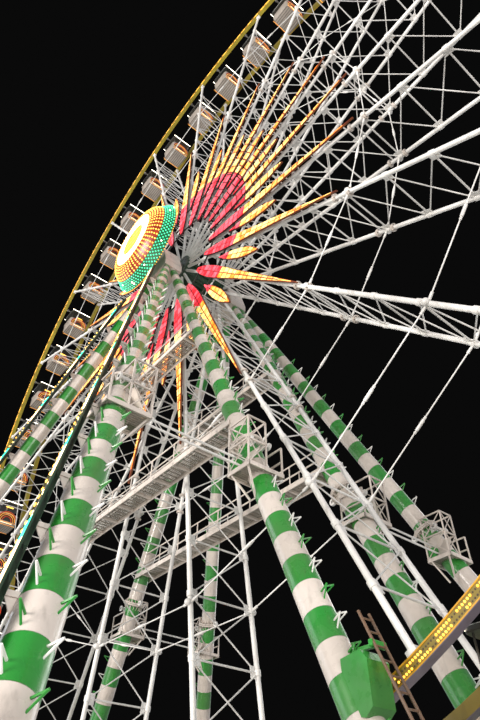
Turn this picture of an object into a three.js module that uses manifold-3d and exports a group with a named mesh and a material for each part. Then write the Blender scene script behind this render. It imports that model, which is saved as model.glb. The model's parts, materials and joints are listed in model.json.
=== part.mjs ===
// Ferris wheel with forty-two round cabins, a half-size model of a wheel that stands sixty metres tall.
// Seen from the front the wheel turns about the Y axis. The front is towards -Y.
// The origin is on the ground under the middle of the hub.
import * as THREE from 'three';
import { mergeVertices } from 'three/addons/utils/BufferGeometryUtils.js';
import Module from 'manifold-3d';

const wasm = await Module();
wasm.setup();

// Driving sizes of the real wheel in millimetres, times the model scale
const scale = 0.5;
const rimRadius = 27100 * scale;
const hubHeight = 32900 * scale;
const planeOffset = 1340 * scale;
const bearingOffset = 2300 * scale;
const legSpreadX = 0.427;
const legSpreadY = 0.277;

// Counts
const spokeCount = 21;
const cabinsPerSpoke = 2;
const spokePitch = 2 * Math.PI / spokeCount;
const cabinAngle = spokePitch / 4;

// Gaps
const seatGap = 0.3;
const runningGap = 0.5;

// Rims: flat bands that carry the cabins
const rimDepth = 170;
const rimWidth = 90;
const rimSides = 84;
const rimInnerFlat = rimRadius - rimDepth;

// Spokes: each is a front chord and a back chord, held apart by the hub and the cabin axles
const chordSize = 90;
const tieSize = 30;
const tieRadii = [0.2045, 0.528, 0.766].map((share) => share * rimRadius);

// Hub
const flangeFlat = 450;
const flangeWidth = 110;
const drumRadius = 300;
const shaftRadius = 130;
const shaftSides = 16;
const shaftReach = 1330;

// Sunburst boxes on the front of the spokes: pairs of distance from the hub and half width
const rayDepth = 135;
const rayRingSize = 40;
const rayRings = [0.135, 0.2085].map((share) => share * rimRadius);
const longRay = [
  [0.1245, 0], [0.157, 100], [0.18, 137], [0.204, 162], [0.24, 149], [0.315, 112], [0.42, 64], [0.52, 0],
].map(([share, half]) => [share * rimRadius, half]);
const shortRay = [
  [0.2, 0], [0.232, 85], [0.255, 130], [0.284, 150], [0.312, 128], [0.335, 62], [0.347, 0],
].map(([share, half]) => [share * rimRadius, half]);

// Cabins, measured down from their axle
const axleHalf = 35;
const hangerHalf = 60;
const hangerOverlap = 40;
const axleDistance = rimInnerFlat + 50;
const tubBottom = -1175;
const tubTop = -700;
const tubBottomRadius = 430;
const tubTopRadius = 475;
const tubWall = 25;
const tubFloor = 30;
const postRadius = 30;
const canopyEdge = -430;
const canopyTop = -150;
const canopyRadius = 485;
const canopyRise = 100;
const cabinSides = 8;

// Bearing heads
const headFoot = -760;
const headHalfFoot = 440;
const headShoulder = -560;
const headRoundRadius = 270;
const headArcSteps = 10;
const headInside = bearingOffset - 230;
const headOutside = bearingOffset + 330;

// Legs
const legFootRadius = 225;
const legNeckRadius = 165;
const legTipRadius = 90;
const legNeckDepth = 2300;
const legTipDepth = 600;
const legSides = 8;
const flangeDepth = 8500;
const legFlangeRadius = 275;
const legFlangeHeight = 70;
const platformDepth = flangeDepth + 750;
const platformSize = { x: 560, y: 700, z: 30 };
const platformShift = 100;
const catwalkDepths = [4550, 7950];
const catwalkWidth = 420;
const catwalkThickness = 30;
const handrailHeight = 500;
const handrailSize = 24;
const handrailOffset = 140;

// Base frame
const beamHeight = 260;
const beamWidth = 320;
const padSize = 760;
const padHeight = 60;
const baseTop = beamHeight + padHeight;

// Emblem drum in front of the hub
const emblemProfile = [[980, -2400], [1150, -2290], [1260, -2140], [1460, -1886], [1430, -1850]];
const emblemNeckRadius = 200;
const emblemSides = 28;

// Light boards on the front outer legs
const boardWidth = 260;
const boardThickness = 70;
const boardStandOff = 360;
const boardStartDepth = 1700;
const boardEndDepth = 14600;
const bracketDepths = [2600, 5400, 8200, 11000, 13800];
const bracketSize = 60;

// Finishes
const whiteSteel = new THREE.MeshStandardMaterial({ color: 0xe6e2da, roughness: 0.45, metalness: 0.3 });
const yellowSteel = new THREE.MeshStandardMaterial({ color: 0xb39a1e, roughness: 0.45, metalness: 0.3 });
const darkGreenSteel = new THREE.MeshStandardMaterial({ color: 0x1d3a2a, roughness: 0.5, metalness: 0.3 });
const bandedSteel = new THREE.MeshStandardMaterial({ color: 0x2f9a58, roughness: 0.45, metalness: 0.2 });
const creamSteel = new THREE.MeshStandardMaterial({ color: 0xe9dfca, roughness: 0.5, metalness: 0.2 });
const rayPlastic = new THREE.MeshStandardMaterial({ color: 0xe0483f, roughness: 0.4, metalness: 0.0 });
const emblemPlastic = new THREE.MeshStandardMaterial({ color: 0xf2a72c, roughness: 0.4, metalness: 0.0 });
const cabinPlastic = new THREE.MeshStandardMaterial({ color: 0xb9b3a8, roughness: 0.5, metalness: 0.1 });
const boardPlastic = new THREE.MeshStandardMaterial({ color: 0x37b7a0, roughness: 0.4, metalness: 0.0 });

const alongY = new THREE.Vector3(0, 1, 0);
const alongZ = new THREE.Vector3(0, 0, 1);

// Signed volume of a closed triangle mesh
function signedVolume(geometry) {
  const position = geometry.attributes.position;
  const index = geometry.index;
  const a = new THREE.Vector3();
  const b = new THREE.Vector3();
  const c = new THREE.Vector3();
  let volume = 0;
  for (let i = 0; i < index.count; i += 3) {
    a.fromBufferAttribute(position, index.getX(i));
    b.fromBufferAttribute(position, index.getX(i + 1));
    c.fromBufferAttribute(position, index.getX(i + 2));
    volume += a.dot(b.cross(c)) / 6;
  }
  return volume;
}

// A closed mesh with shared vertices, its faces pointing out
function closed(geometry) {
  const bare = geometry.clone();
  bare.deleteAttribute('normal');
  bare.deleteAttribute('uv');
  const merged = mergeVertices(bare, 1e-3);
  const inward = signedVolume(merged) < 0;
  const order = [];
  for (let i = 0; i < merged.index.count; i += 3) {
    const a = merged.index.getX(i);
    const b = merged.index.getX(i + 1);
    const c = merged.index.getX(i + 2);
    if (a !== b && b !== c && c !== a) {
      order.push(...(inward ? [b, a, c] : [a, b, c]));
    }
  }
  merged.setIndex(order);
  return merged;
}

function toSolid(geometry) {
  const merged = closed(geometry);
  return new wasm.Manifold(new wasm.Mesh({
    numProp: 3,
    vertProperties: new Float32Array(merged.attributes.position.array),
    triVerts: new Uint32Array(merged.index.array),
  }));
}

function toGeometry(solid) {
  const mesh = solid.getMesh();
  const geometry = new THREE.BufferGeometry();
  geometry.setAttribute('position', new THREE.BufferAttribute(mesh.vertProperties, 3));
  geometry.setIndex(new THREE.BufferAttribute(mesh.triVerts, 1));
  geometry.computeVertexNormals();
  return geometry;
}

function joined(solids) {
  return solids.reduce((whole, piece) => whole.add(piece));
}

// A box from low to high corner
function block(low, high) {
  const box = new THREE.BoxGeometry(high[0] - low[0], high[1] - low[1], high[2] - low[2]);
  return box.translate((low[0] + high[0]) / 2, (low[1] + high[1]) / 2, (low[2] + high[2]) / 2);
}

// A matrix that puts a shape drawn up the Z axis at a point, with Z towards another point
function aimed(from, to, up) {
  const direction = new THREE.Vector3().subVectors(to, from).normalize();
  const side = new THREE.Vector3().crossVectors(up, direction).normalize();
  const top = new THREE.Vector3().crossVectors(direction, side);
  return new THREE.Matrix4().makeBasis(side, top, direction).setPosition(from);
}

// A rectangular bar between two points
function bar(from, to, width, thickness = width, up = alongY) {
  const length = from.distanceTo(to);
  const box = new THREE.BoxGeometry(width, thickness, length).translate(0, 0, length / 2);
  return box.applyMatrix4(aimed(from, to, up));
}

// A flat plate in the plane of the wheel, from an outline of [x, z] points
function plate(outline, holes, yLow, yHigh) {
  const shape = new THREE.Shape(outline.map(([x, z]) => new THREE.Vector2(x, z)));
  for (const hole of holes) {
    shape.holes.push(new THREE.Path(hole.map(([x, z]) => new THREE.Vector2(x, z))));
  }
  const body = new THREE.ExtrudeGeometry(shape, { depth: yHigh - yLow, bevelEnabled: false });
  return body.rotateX(Math.PI / 2).translate(0, yHigh, 0);
}

// A turned piece about the Y axis, from a profile of [radius, y] points
function turned(profile, sides) {
  return closed(new THREE.LatheGeometry(profile.map(([radius, y]) => new THREE.Vector2(radius, y)), sides));
}

// The same, with the profile's second value measured from one point towards another
function turnedBetween(profile, sides, from, to) {
  return turned(profile, sides).rotateX(Math.PI / 2).applyMatrix4(aimed(from, to, alongY));
}

function polygon(radius, sides, startAngle = 0) {
  const points = [];
  for (let i = 0; i < sides; i += 1) {
    const angle = startAngle + i * 2 * Math.PI / sides;
    points.push([radius * Math.cos(angle), radius * Math.sin(angle)]);
  }
  return points;
}

function polar(radius, angle, y) {
  return new THREE.Vector3(radius * Math.cos(angle), y, radius * Math.sin(angle));
}

function spokeAngle(index) {
  return Math.PI / 2 + index * spokePitch;
}

const ferrisWheel = new THREE.Group();

function addPiece(parent, name, geometry, material) {
  const piece = new THREE.Mesh(geometry, material);
  piece.name = name;
  parent.add(piece);
  return piece;
}

// Turning wheel, drawn about the hub
const wheel = new THREE.Group();
wheel.position.z = hubHeight;
ferrisWheel.add(wheel);

// One side of the wheel: radial chords linked by rings of straight tie rods
function spokePlane(y) {
  const bars = [];
  for (let i = 0; i < spokeCount; i += 1) {
    const angle = spokeAngle(i);
    const inner = polar(flangeFlat + seatGap, angle, y);
    const outer = polar(rimInnerFlat - seatGap, angle, y);
    bars.push(bar(inner, outer, chordSize));
    for (const radius of tieRadii) {
      bars.push(bar(polar(radius, angle, y), polar(radius, angle + spokePitch, y), tieSize));
    }
  }
  return toGeometry(joined(bars.map(toSolid)));
}

addPiece(wheel, 'front_spokes', spokePlane(-planeOffset), whiteSteel);
addPiece(wheel, 'back_spokes', spokePlane(planeOffset), whiteSteel);

// Rims, with a flat in front of every spoke
function rim(y) {
  const cornerShare = 1 / Math.cos(Math.PI / rimSides);
  const start = Math.PI / 2 + Math.PI / rimSides;
  const outline = polygon(rimRadius, rimSides, start);
  const bore = polygon(rimInnerFlat * cornerShare, rimSides, start);
  return plate(outline, [bore], y - rimWidth / 2, y + rimWidth / 2);
}

addPiece(wheel, 'front_rim', closed(rim(-planeOffset)), yellowSteel);
addPiece(wheel, 'back_rim', closed(rim(planeOffset)), yellowSteel);

// A round bar along Y, as long on one side of the middle as on the other
function rod(radius, reach, sides) {
  return toSolid(turned([[0, -reach], [radius, -reach], [radius, reach], [0, reach]], sides));
}

// Hub drum with a many-sided flange for each side and the shaft on which the wheel turns
function hubDrum() {
  const flangeRadius = flangeFlat / Math.cos(spokePitch / 2);
  const flangeOutline = polygon(flangeRadius, spokeCount, spokeAngle(0) + spokePitch / 2);
  const flanges = [-planeOffset, planeOffset].map(
    (y) => toSolid(plate(flangeOutline, [], y - flangeWidth / 2, y + flangeWidth / 2)));
  const drum = rod(drumRadius, planeOffset, spokeCount);
  const shaft = rod(shaftRadius, shaftReach, shaftSides);
  return toGeometry(joined([drum, shaft, ...flanges]));
}

addPiece(wheel, 'hub_drum', hubDrum(), darkGreenSteel);

// Sunburst: a long ray on every spoke and a short one between, joined by two rings of bars
function rayBox(ray, angle, yLow, yHigh) {
  const inner = ray.slice(1, -1);
  const corners = [ray[0], ...inner, ray[ray.length - 1], ...inner.map(([radius, half]) => [radius, -half]).reverse()];
  const outline = corners.map(([radius, half]) => [
    radius * Math.cos(angle) - half * Math.sin(angle), radius * Math.sin(angle) + half * Math.cos(angle)]);
  return toSolid(plate(outline, [], yLow, yHigh));
}

function sunburst() {
  const back = -planeOffset - chordSize / 2 - seatGap;
  const front = back - rayDepth;
  const solids = [];
  for (let i = 0; i < spokeCount; i += 1) {
    const angle = spokeAngle(i);
    solids.push(rayBox(longRay, angle, front, back), rayBox(shortRay, angle + spokePitch / 2, front, back));
    for (const radius of rayRings) {
      const level = back - rayRingSize;
      solids.push(toSolid(bar(polar(radius, angle, level), polar(radius, angle + spokePitch, level), rayRingSize)));
    }
  }
  return toGeometry(joined(solids));
}

addPiece(wheel, 'sunburst', sunburst(), rayPlastic);

// One cabin about its own axle: tub, middle post and canopy turned about the vertical, hanger and axle
function cabinGeometry() {
  const profile = [
    [0, tubBottom],
    [tubBottomRadius, tubBottom],
    [tubTopRadius, tubTop],
    [tubTopRadius - tubWall, tubTop],
    [tubBottomRadius - tubWall, tubBottom + tubFloor],
    [postRadius, tubBottom + tubFloor],
    [postRadius, canopyEdge + canopyRise],
    [canopyRadius, canopyEdge],
    [0, canopyTop],
  ];
  const shell = turned(profile, cabinSides).rotateX(Math.PI / 2);
  const reach = planeOffset - rimWidth / 2 - runningGap;
  const hanger = block([-axleHalf, -hangerHalf, canopyTop - hangerOverlap], [axleHalf, hangerHalf, 0]);
  const axle = block([-axleHalf, -reach, -axleHalf], [axleHalf, reach, axleHalf]);
  return toGeometry(joined([toSolid(shell), toSolid(hanger), toSolid(axle)]));
}

const cabinShape = cabinGeometry();
for (let i = 0; i < spokeCount * cabinsPerSpoke; i += 1) {
  const angle = Math.PI / 2 - cabinAngle - i * 2 * cabinAngle;
  const cabin = addPiece(wheel, `cabin_${String(i + 1).padStart(2, '0')}`, cabinShape, cabinPlastic);
  cabin.position.copy(polar(axleDistance, angle, 0));
}

// Fixed frame, drawn about the hub: side is -1 at the front and 1 at the back, hand -1 left and 1 right
const frame = new THREE.Group();
frame.position.z = hubHeight;
ferrisWheel.add(frame);

const floorLevel = baseTop - hubHeight;

function legAxis(side, hand, spreadY, depth) {
  return new THREE.Vector3(
    hand * legSpreadX * depth, side * (bearingOffset + spreadY * depth), -depth);
}

// The bearing head: a pedestal plate with a round top and a blind bore for the shaft
function headOutline(grow) {
  const outline = [
    [headHalfFoot + grow, headFoot - grow],
    [headHalfFoot + grow, headShoulder + grow],
  ];
  const roundRadius = headRoundRadius + grow;
  for (let i = 0; i <= headArcSteps; i += 1) {
    const angle = Math.PI * i / headArcSteps;
    outline.push([roundRadius * Math.cos(angle), roundRadius * Math.sin(angle)]);
  }
  outline.push([-headHalfFoot - grow, headShoulder + grow], [-headHalfFoot - grow, headFoot - grow]);
  return outline;
}

function headBlock(side, grow) {
  const near = side * (headInside - grow);
  const far = side * (headOutside + grow);
  return toSolid(plate(headOutline(grow), [], Math.min(near, far), Math.max(near, far)));
}

function bearingHead(side) {
  const boreRadius = (shaftRadius + runningGap) / Math.cos(Math.PI / shaftSides);
  const bore = turned([
    [0, 0], [boreRadius, 0], [boreRadius, shaftReach + runningGap], [0, shaftReach + runningGap],
  ], shaftSides);
  if (side < 0) {
    bore.rotateX(Math.PI);
  }
  return toGeometry(headBlock(side, 0).subtract(toSolid(bore)));
}

addPiece(frame, 'front_bearing_head', bearingHead(-1), creamSteel);
addPiece(frame, 'back_bearing_head', bearingHead(1), creamSteel);

// A tubular leg with a tapered top, a bolted flange and a small work platform on the side of the leg beside it
function legBody(side, hand, spreadY, grow) {
  const tip = legAxis(side, hand, spreadY, legTipDepth);
  const neck = legAxis(side, hand, spreadY, legNeckDepth);
  const foot = legAxis(side, hand, spreadY, hubHeight);
  const profile = [
    [0, 0],
    [legTipRadius + grow, 0],
    [legNeckRadius + grow, tip.distanceTo(neck)],
    [legFootRadius + grow, tip.distanceTo(foot)],
    [0, tip.distanceTo(foot)],
  ];
  return toSolid(turnedBetween(profile, legSides, tip, foot));
}

function leg(side, hand, spreadY) {
  const flange = turnedBetween([
    [0, 0], [legFlangeRadius, 0], [legFlangeRadius, legFlangeHeight], [0, legFlangeHeight],
  ], legSides, legAxis(side, hand, spreadY, flangeDepth), legAxis(side, hand, spreadY, hubHeight));
  const centre = legAxis(side, hand, spreadY, platformDepth);
  const halfX = platformSize.x / 2;
  const halfY = platformSize.y / 2;
  const middle = centre.y + platformShift * (spreadY ? -side : side);
  const platform = block(
    [centre.x - halfX, middle - halfY, centre.z],
    [centre.x + halfX, middle + halfY, centre.z + platformSize.z]);
  const below = block(
    [-hubHeight, -hubHeight, floorLevel - hubHeight], [hubHeight, hubHeight, floorLevel + seatGap]);
  return joined([legBody(side, hand, spreadY, 0), toSolid(flange), toSolid(platform)])
    .subtract(headBlock(side, seatGap))
    .subtract(toSolid(below));
}

// Catwalk between the two inner legs of one side, with a handrail along each edge
function catwalk(side, depth) {
  const reach = legSpreadX * depth;
  const y = side * bearingOffset;
  const floor = block(
    [-reach, y - catwalkWidth / 2, -depth], [reach, y + catwalkWidth / 2, -depth + catwalkThickness]);
  const railLevel = -depth + handrailHeight;
  const railReach = legSpreadX * (depth - handrailHeight);
  const rails = [-1, 1].map((edge) => bar(
    new THREE.Vector3(-railReach, y + edge * handrailOffset, railLevel),
    new THREE.Vector3(railReach, y + edge * handrailOffset, railLevel), handrailSize));
  return [floor, ...rails].map(toSolid);
}

function innerLegs(side) {
  const walks = catwalkDepths.flatMap((depth) => catwalk(side, depth));
  return toGeometry(joined([leg(side, -1, 0), leg(side, 1, 0), ...walks]));
}

addPiece(frame, 'front_inner_legs', innerLegs(-1), bandedSteel);
addPiece(frame, 'back_inner_legs', innerLegs(1), bandedSteel);

for (const [sideName, side] of [['front', -1], ['back', 1]]) {
  for (const [handName, hand] of [['left', -1], ['right', 1]]) {
    const outerLeg = toGeometry(leg(side, hand, legSpreadY));
    addPiece(frame, `${sideName}_outer_leg_${handName}`, outerLeg, bandedSteel);
  }
}

// Light boards stand off the front of the two front outer legs on brackets
function lightBoard(hand) {
  const forward = new THREE.Vector3(0, -boardStandOff, 0);
  const start = legAxis(-1, hand, legSpreadY, boardStartDepth).add(forward);
  const end = legAxis(-1, hand, legSpreadY, boardEndDepth).add(forward);
  const board = bar(start, end, boardWidth, boardThickness);
  const brackets = bracketDepths.map((depth) => {
    const onLeg = legAxis(-1, hand, legSpreadY, depth);
    return toSolid(bar(onLeg, onLeg.clone().add(forward), bracketSize, bracketSize, alongZ));
  });
  return toGeometry(joined([toSolid(board), ...brackets]).subtract(legBody(-1, hand, legSpreadY, seatGap)));
}

addPiece(frame, 'front_light_board_left', lightBoard(-1), boardPlastic);
addPiece(frame, 'front_light_board_right', lightBoard(1), boardPlastic);

// Emblem drum on a neck in front of the bearing head
function hubEmblem() {
  const [frontEdge] = emblemProfile;
  const backEdge = emblemProfile[emblemProfile.length - 1];
  const profile = [
    [0, frontEdge[1]],
    ...emblemProfile,
    [emblemNeckRadius, backEdge[1]],
    [emblemNeckRadius, -headOutside - seatGap],
    [0, -headOutside - seatGap],
  ];
  return closed(turned(profile, emblemSides));
}

addPiece(frame, 'hub_emblem', hubEmblem(), emblemPlastic);

// Base frame on the ground: a beam under the feet of each hand, two cross beams and a pad under each foot
function baseFrame() {
  const footX = legSpreadX * hubHeight;
  const footY = bearingOffset + legSpreadY * hubHeight;
  const halfBeam = beamWidth / 2;
  const halfPad = padSize / 2;
  const solids = [];
  for (const hand of [-1, 1]) {
    const x = hand * footX;
    solids.push(block([x - halfBeam, -footY - halfPad, 0], [x + halfBeam, footY + halfPad, beamHeight]));
    for (const y of [-footY, -bearingOffset, bearingOffset, footY]) {
      solids.push(block([x - halfPad, y - halfPad, beamHeight / 2], [x + halfPad, y + halfPad, baseTop]));
    }
  }
  for (const side of [-1, 1]) {
    const y = side * bearingOffset;
    solids.push(block([-footX, y - halfBeam, 0], [footX, y + halfBeam, beamHeight]));
  }
  return toGeometry(joined(solids.map(toSolid)));
}

addPiece(ferrisWheel, 'base_frame', baseFrame(), darkGreenSteel);

export default ferrisWheel;
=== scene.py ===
"""Half-size model of a fairground wheel: lattice, lamps, cabins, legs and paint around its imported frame."""

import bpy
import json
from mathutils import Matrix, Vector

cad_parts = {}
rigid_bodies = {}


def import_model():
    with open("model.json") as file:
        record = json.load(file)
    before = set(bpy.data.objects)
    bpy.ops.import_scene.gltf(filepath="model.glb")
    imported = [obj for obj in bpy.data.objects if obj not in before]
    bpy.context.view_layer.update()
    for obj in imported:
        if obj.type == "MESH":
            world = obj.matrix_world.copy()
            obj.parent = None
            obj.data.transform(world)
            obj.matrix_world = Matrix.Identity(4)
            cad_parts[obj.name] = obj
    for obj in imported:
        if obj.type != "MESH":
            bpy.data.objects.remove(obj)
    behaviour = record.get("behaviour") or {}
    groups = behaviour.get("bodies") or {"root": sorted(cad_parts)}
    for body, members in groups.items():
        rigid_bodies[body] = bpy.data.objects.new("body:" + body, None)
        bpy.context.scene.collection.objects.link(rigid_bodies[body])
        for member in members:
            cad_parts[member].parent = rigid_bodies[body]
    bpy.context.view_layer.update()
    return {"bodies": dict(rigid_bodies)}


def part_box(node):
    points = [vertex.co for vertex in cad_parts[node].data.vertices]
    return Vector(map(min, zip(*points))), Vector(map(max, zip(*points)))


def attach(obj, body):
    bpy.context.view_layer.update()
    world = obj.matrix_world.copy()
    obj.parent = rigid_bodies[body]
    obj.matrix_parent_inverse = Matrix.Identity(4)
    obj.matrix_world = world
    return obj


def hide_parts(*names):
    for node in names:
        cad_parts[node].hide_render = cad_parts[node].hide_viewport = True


bl_info = {
    "name": "Ferris wheel",
    "version": (1, 0, 0),
    "blender": (4, 5, 0),
    "location": "3D View > Sidebar > Ferris wheel",
    "description": "Builds the lattice, lamps, cabins, legs and paint of the wheel around its packed frame",
    "category": "Add Mesh",
}

import functools
import itertools
import json
import math
import random

import bmesh
import bpy
from mathutils import Matrix, Vector

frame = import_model()

# Places taken from the frame
RIM_LOW, RIM_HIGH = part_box("front_rim")
RIM_SIDES = 84
RIM_RADIUS = RIM_HIGH.x / math.cos(math.pi / RIM_SIDES)
HUB_HEIGHT = (RIM_LOW.z + RIM_HIGH.z) / 2
PLANE = -(RIM_LOW.y + RIM_HIGH.y) / 2
BEAM_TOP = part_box("base_frame")[1].z
CABINS = sorted(name for name in frame["bodies"] if name.startswith("cabin_"))

SIDES = ((-1, "front"), (1, "back"))
HANDS = ((-1, "left"), (1, "right"))
ALONG_X = Vector((1, 0, 0))
ALONG_Y = Vector((0, 1, 0))
ALONG_Z = Vector((0, 0, 1))
FULL_TURN = 2 * math.pi
SEED = 21


# Settings that a user would change
def number(label, text, default, **more):
    return bpy.props.FloatProperty(name=label, description=text, default=default, **more)


def length(label, text, default):
    return number(label, text, default, unit="LENGTH", precision=4)


def share(label, text, default):
    return number(label, text, default, subtype="FACTOR", precision=4)


def count(label, text, default):
    return bpy.props.IntProperty(name=label, description=text, default=default, min=1)


def several(label, text, default, **more):
    return bpy.props.FloatVectorProperty(
        name=label, description=text, default=default, size=len(default), **more)


def colour(label, text, default):
    return several(label, text, default, min=0.0, max=1.0, subtype="COLOR")


class WheelSizes(bpy.types.PropertyGroup):
    spokes: count("Spokes", "Radial trusses", 21)
    chord: length("Chord radius", "Radius of a chord tube", 0.045)
    strut: length("Strut radius", "Radius of a strut between the two sides", 0.018)
    brace: length("Brace radius", "Radius of a crossed brace", 0.013)
    tie: length("Tie radius", "Radius of a tie rod between spokes", 0.012)
    first_node: share("First node", "First lattice node as a share of the rim radius", 0.138)
    bay: share("Bay", "Distance between lattice nodes as a share of the rim radius", 0.0777)
    bays: count("Bays", "Crossed bays along a spoke", 10)
    splice: share("Splice", "Bolted joint of the spokes as a share of the rim radius", 0.5265)
    tie_shares: several("Tie rings", "Tie rings as shares of the rim radius", (0.2045, 0.528, 0.766))
    rim_depth: length("Rim depth", "Radial depth of a rim", 0.17)
    rim_width: length("Rim width", "Width of a rim along the axle", 0.09)
    rim_reach: length("Rim reach", "Outer face of a rim from the plane of its spokes", 0.105)
    flange: length("Hub flange radius", "Radius of the flanges that hold the chords", 0.45)
    drum: length("Drum radius", "Radius of the hub drum", 0.30)
    shaft: length("Shaft radius", "Radius of the shaft", 0.13)


class RaySizes(bpy.types.PropertyGroup):
    front: length("Ray front", "Front of the rays, measured forward from the middle of the wheel", 0.8503)
    depth: length("Ray depth", "Depth of a ray box", 0.05)
    split: share("Split", "Where the red inner part ends", 0.24)
    brick: length("Brick", "Length of one lit brick in a ray", 0.24)
    gap: length("Brick gap", "Dark gap at each end of a brick", 0.022)
    bar: length("Ring bar", "Thickness of the bars that join the rays", 0.036)
    rings: several("Rings", "Rings of bars as shares of the rim radius", (0.135, 0.2085))
    posts: several("Posts", "Posts of a long ray as shares of the rim radius", (0.157, 0.24, 0.33, 0.43))


# Half widths of a ray in metres at shares of the rim radius
LONG_RAY = (
    (0.1200, 0.036), (0.140, 0.110), (0.157, 0.145), (0.18, 0.172), (0.204, 0.184),
    (0.24, 0.168), (0.315, 0.120), (0.42, 0.068), (0.5195, 0.010))
SHORT_RAY = (
    (0.2005, 0.016), (0.232, 0.098), (0.255, 0.140), (0.284, 0.156), (0.312, 0.130),
    (0.335, 0.064), (0.3465, 0.010))


class CabinSizes(bpy.types.PropertyGroup):
    axle_radius: length("Axle distance", "Distance of a cabin axle from the hub", 13.43)
    canopy_top: length("Canopy top", "Top of the canopy below the axle", 0.15)
    canopy_edge: length("Canopy edge", "Underside of the canopy below the axle", 0.262)
    canopy: length("Canopy half width", "Half of the width of the canopy", 0.46)
    tub_top: length("Tub top", "Upper edge of the tub below the axle", 0.70)
    tub_bottom: length("Tub bottom", "Underside of the tub below the axle", 1.175)
    tub_upper: length("Upper half width", "Half of the width of the tub at its upper edge", 0.43)
    tub_lower: length("Lower half width", "Half of the width of the tub at its underside", 0.40)
    corner: length("Corner", "Radius of the corners of the tub and canopy", 0.12)
    wall: length("Wall", "Thickness of the tub wall", 0.025)
    ribs: count("Ribs", "Upright ribs on the front of the tub", 6)
    slats: count("Slats", "Slats under the tub", 8)
    fan: length("Fan radius", "Radius of the lit half disc on each side", 0.40)
    fan_base: length("Fan base", "Straight edge of the half disc below the axle", 1.02)
    tube_reach: length("Tube lamp offset", "Sideways distance of a tube lamp from the axle", 0.471)
    tube_level: length("Tube lamp level", "Tube lamp below the axle", 0.20)


class LegSizes(bpy.types.PropertyGroup):
    spread_x: share("Spread along X", "Sideways travel of a leg for each unit of depth", 0.427)
    spread_y: share("Spread along Y", "Forward travel of an outer leg for each unit of depth", 0.277)
    bearing: length("Bearing offset", "Distance of a leg plane from the middle of the wheel", 1.15)
    tip_depth: length("Tip depth", "Top of a leg below the hub", 0.60)
    neck_depth: length("Neck depth", "End of the tapered top below the hub", 2.30)
    tip: length("Tip radius", "Radius of a leg at its top", 0.09)
    neck: length("Neck radius", "Radius of a leg below the tapered top", 0.165)
    foot: length("Foot radius", "Radius of a leg at the ground", 0.225)
    band: length("Band", "Length of one painted band", 0.394)
    iron_pitch: length("Step iron pitch", "Distance between step irons in one row", 0.394)
    flange_depth: length("Flange depth", "Bolted joint of a leg below the hub", 8.5)
    flange: length("Flange radius", "Radius of the bolted joint", 0.275)
    cage_depth: length("Cage depth", "Floor of a work cage below the hub", 9.25)
    walk_depths: several("Catwalk depths", "Catwalk floors below the hub", (4.55, 7.95), unit="LENGTH")
    walk_width: length("Catwalk width", "Width of a catwalk", 0.42)
    rail: length("Rail height", "Height of the handrails", 0.50)


class EmblemSizes(bpy.types.PropertyGroup):
    face: length("Face radius", "Radius of the flat face", 0.975)
    front: length("Front", "Front face, measured forward from the middle of the wheel", 2.40)
    knee: length("Knee radius", "Radius where the orange slope bends", 1.15)
    knee_level: length("Knee", "Bend, measured forward from the middle of the wheel", 2.278)
    shoulder: length("Shoulder radius", "Radius where the orange slope meets the green side", 1.255)
    shoulder_level: length("Shoulder", "Shoulder, measured forward from the middle of the wheel", 2.138)
    edge: length("Edge radius", "Radius of the back edge", 1.452)
    edge_level: length("Edge", "Back edge, measured forward from the middle of the wheel", 1.884)
    back: length("Back", "Back face, measured forward from the middle of the wheel", 1.851)
    neck: length("Neck radius", "Radius of the neck behind the drum", 0.20)
    neck_end: length("Neck end", "End of the neck at the bearing head", 1.4803)
    ring_outer: length("White zone outside", "Outer radius of the white ring", 0.84)
    ring_inner: length("White zone inside", "Inner radius of the white ring", 0.50)
    lamp_rows: count("Lamp rows", "Radial rows of lamps on the orange slope", 56)
    side_lamps: count("Side lamps", "Lamps in one row round the green side", 76)


class BoardSizes(bpy.types.PropertyGroup):
    start: length("Start depth", "Upper end of a light board below the hub", 1.70)
    end: length("End depth", "Lower end of a light board below the hub", 14.60)
    stand_off: length("Stand-off", "Distance of the boards in front of the leg", 0.36)
    width: length("Width", "Width of a light board", 0.26)
    depth: length("Depth", "Thickness of a light board", 0.07)
    first: length("First section", "Distance of the first turquoise section from the upper end", 0.138)
    first_left: length("First left section", "The same distance on the left board", 0.40)
    bead: length("Bead pitch", "Distance between the round lamps in one column", 0.14)
    cool: length("Cool section", "Length of a turquoise section", 0.31)
    warm: length("Warm section", "Length of a warm white section", 0.45)
    dark: length("Dark section", "Length of a dark section with bulbs", 0.79)


class BaseSizes(bpy.types.PropertyGroup):
    beam_height: length("Beam height", "Height of the base beams", 0.26)
    beam_width: length("Beam width", "Width of the base beams", 0.32)
    pad: length("Pad", "Width of a foot pad", 0.76)


class PaintColours(bpy.types.PropertyGroup):
    white: colour("White", "Lattice paint", (0.92, 0.90, 0.86))
    cream: colour("Cream", "Cream bands and bearing heads", (0.80, 0.71, 0.63))
    green: colour("Green", "Green bands", (0.018, 0.30, 0.030))
    dark_green: colour("Dark green", "Hub and base", (0.010, 0.060, 0.026))
    yellow: colour("Yellow", "Rim edges", (0.70, 0.36, 0.010))
    web: colour("Web", "Rim faces between the edges", (0.24, 0.17, 0.010))
    shell: colour("Shell", "Cabin tubs", (0.42, 0.37, 0.32))
    canopy: colour("Canopy", "Cabin canopies", (0.020, 0.022, 0.018))
    red: colour("Red", "Inner lamps of the rays", (1.0, 0.11, 0.15))
    gold: colour("Gold", "Outer lamps of the rays", (1.0, 0.74, 0.24))
    turquoise: colour("Turquoise", "Cool lamps", (0.03, 0.80, 0.50))
    warm_white: colour("Warm white", "Warm lamps", (1.0, 0.86, 0.62))


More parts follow.
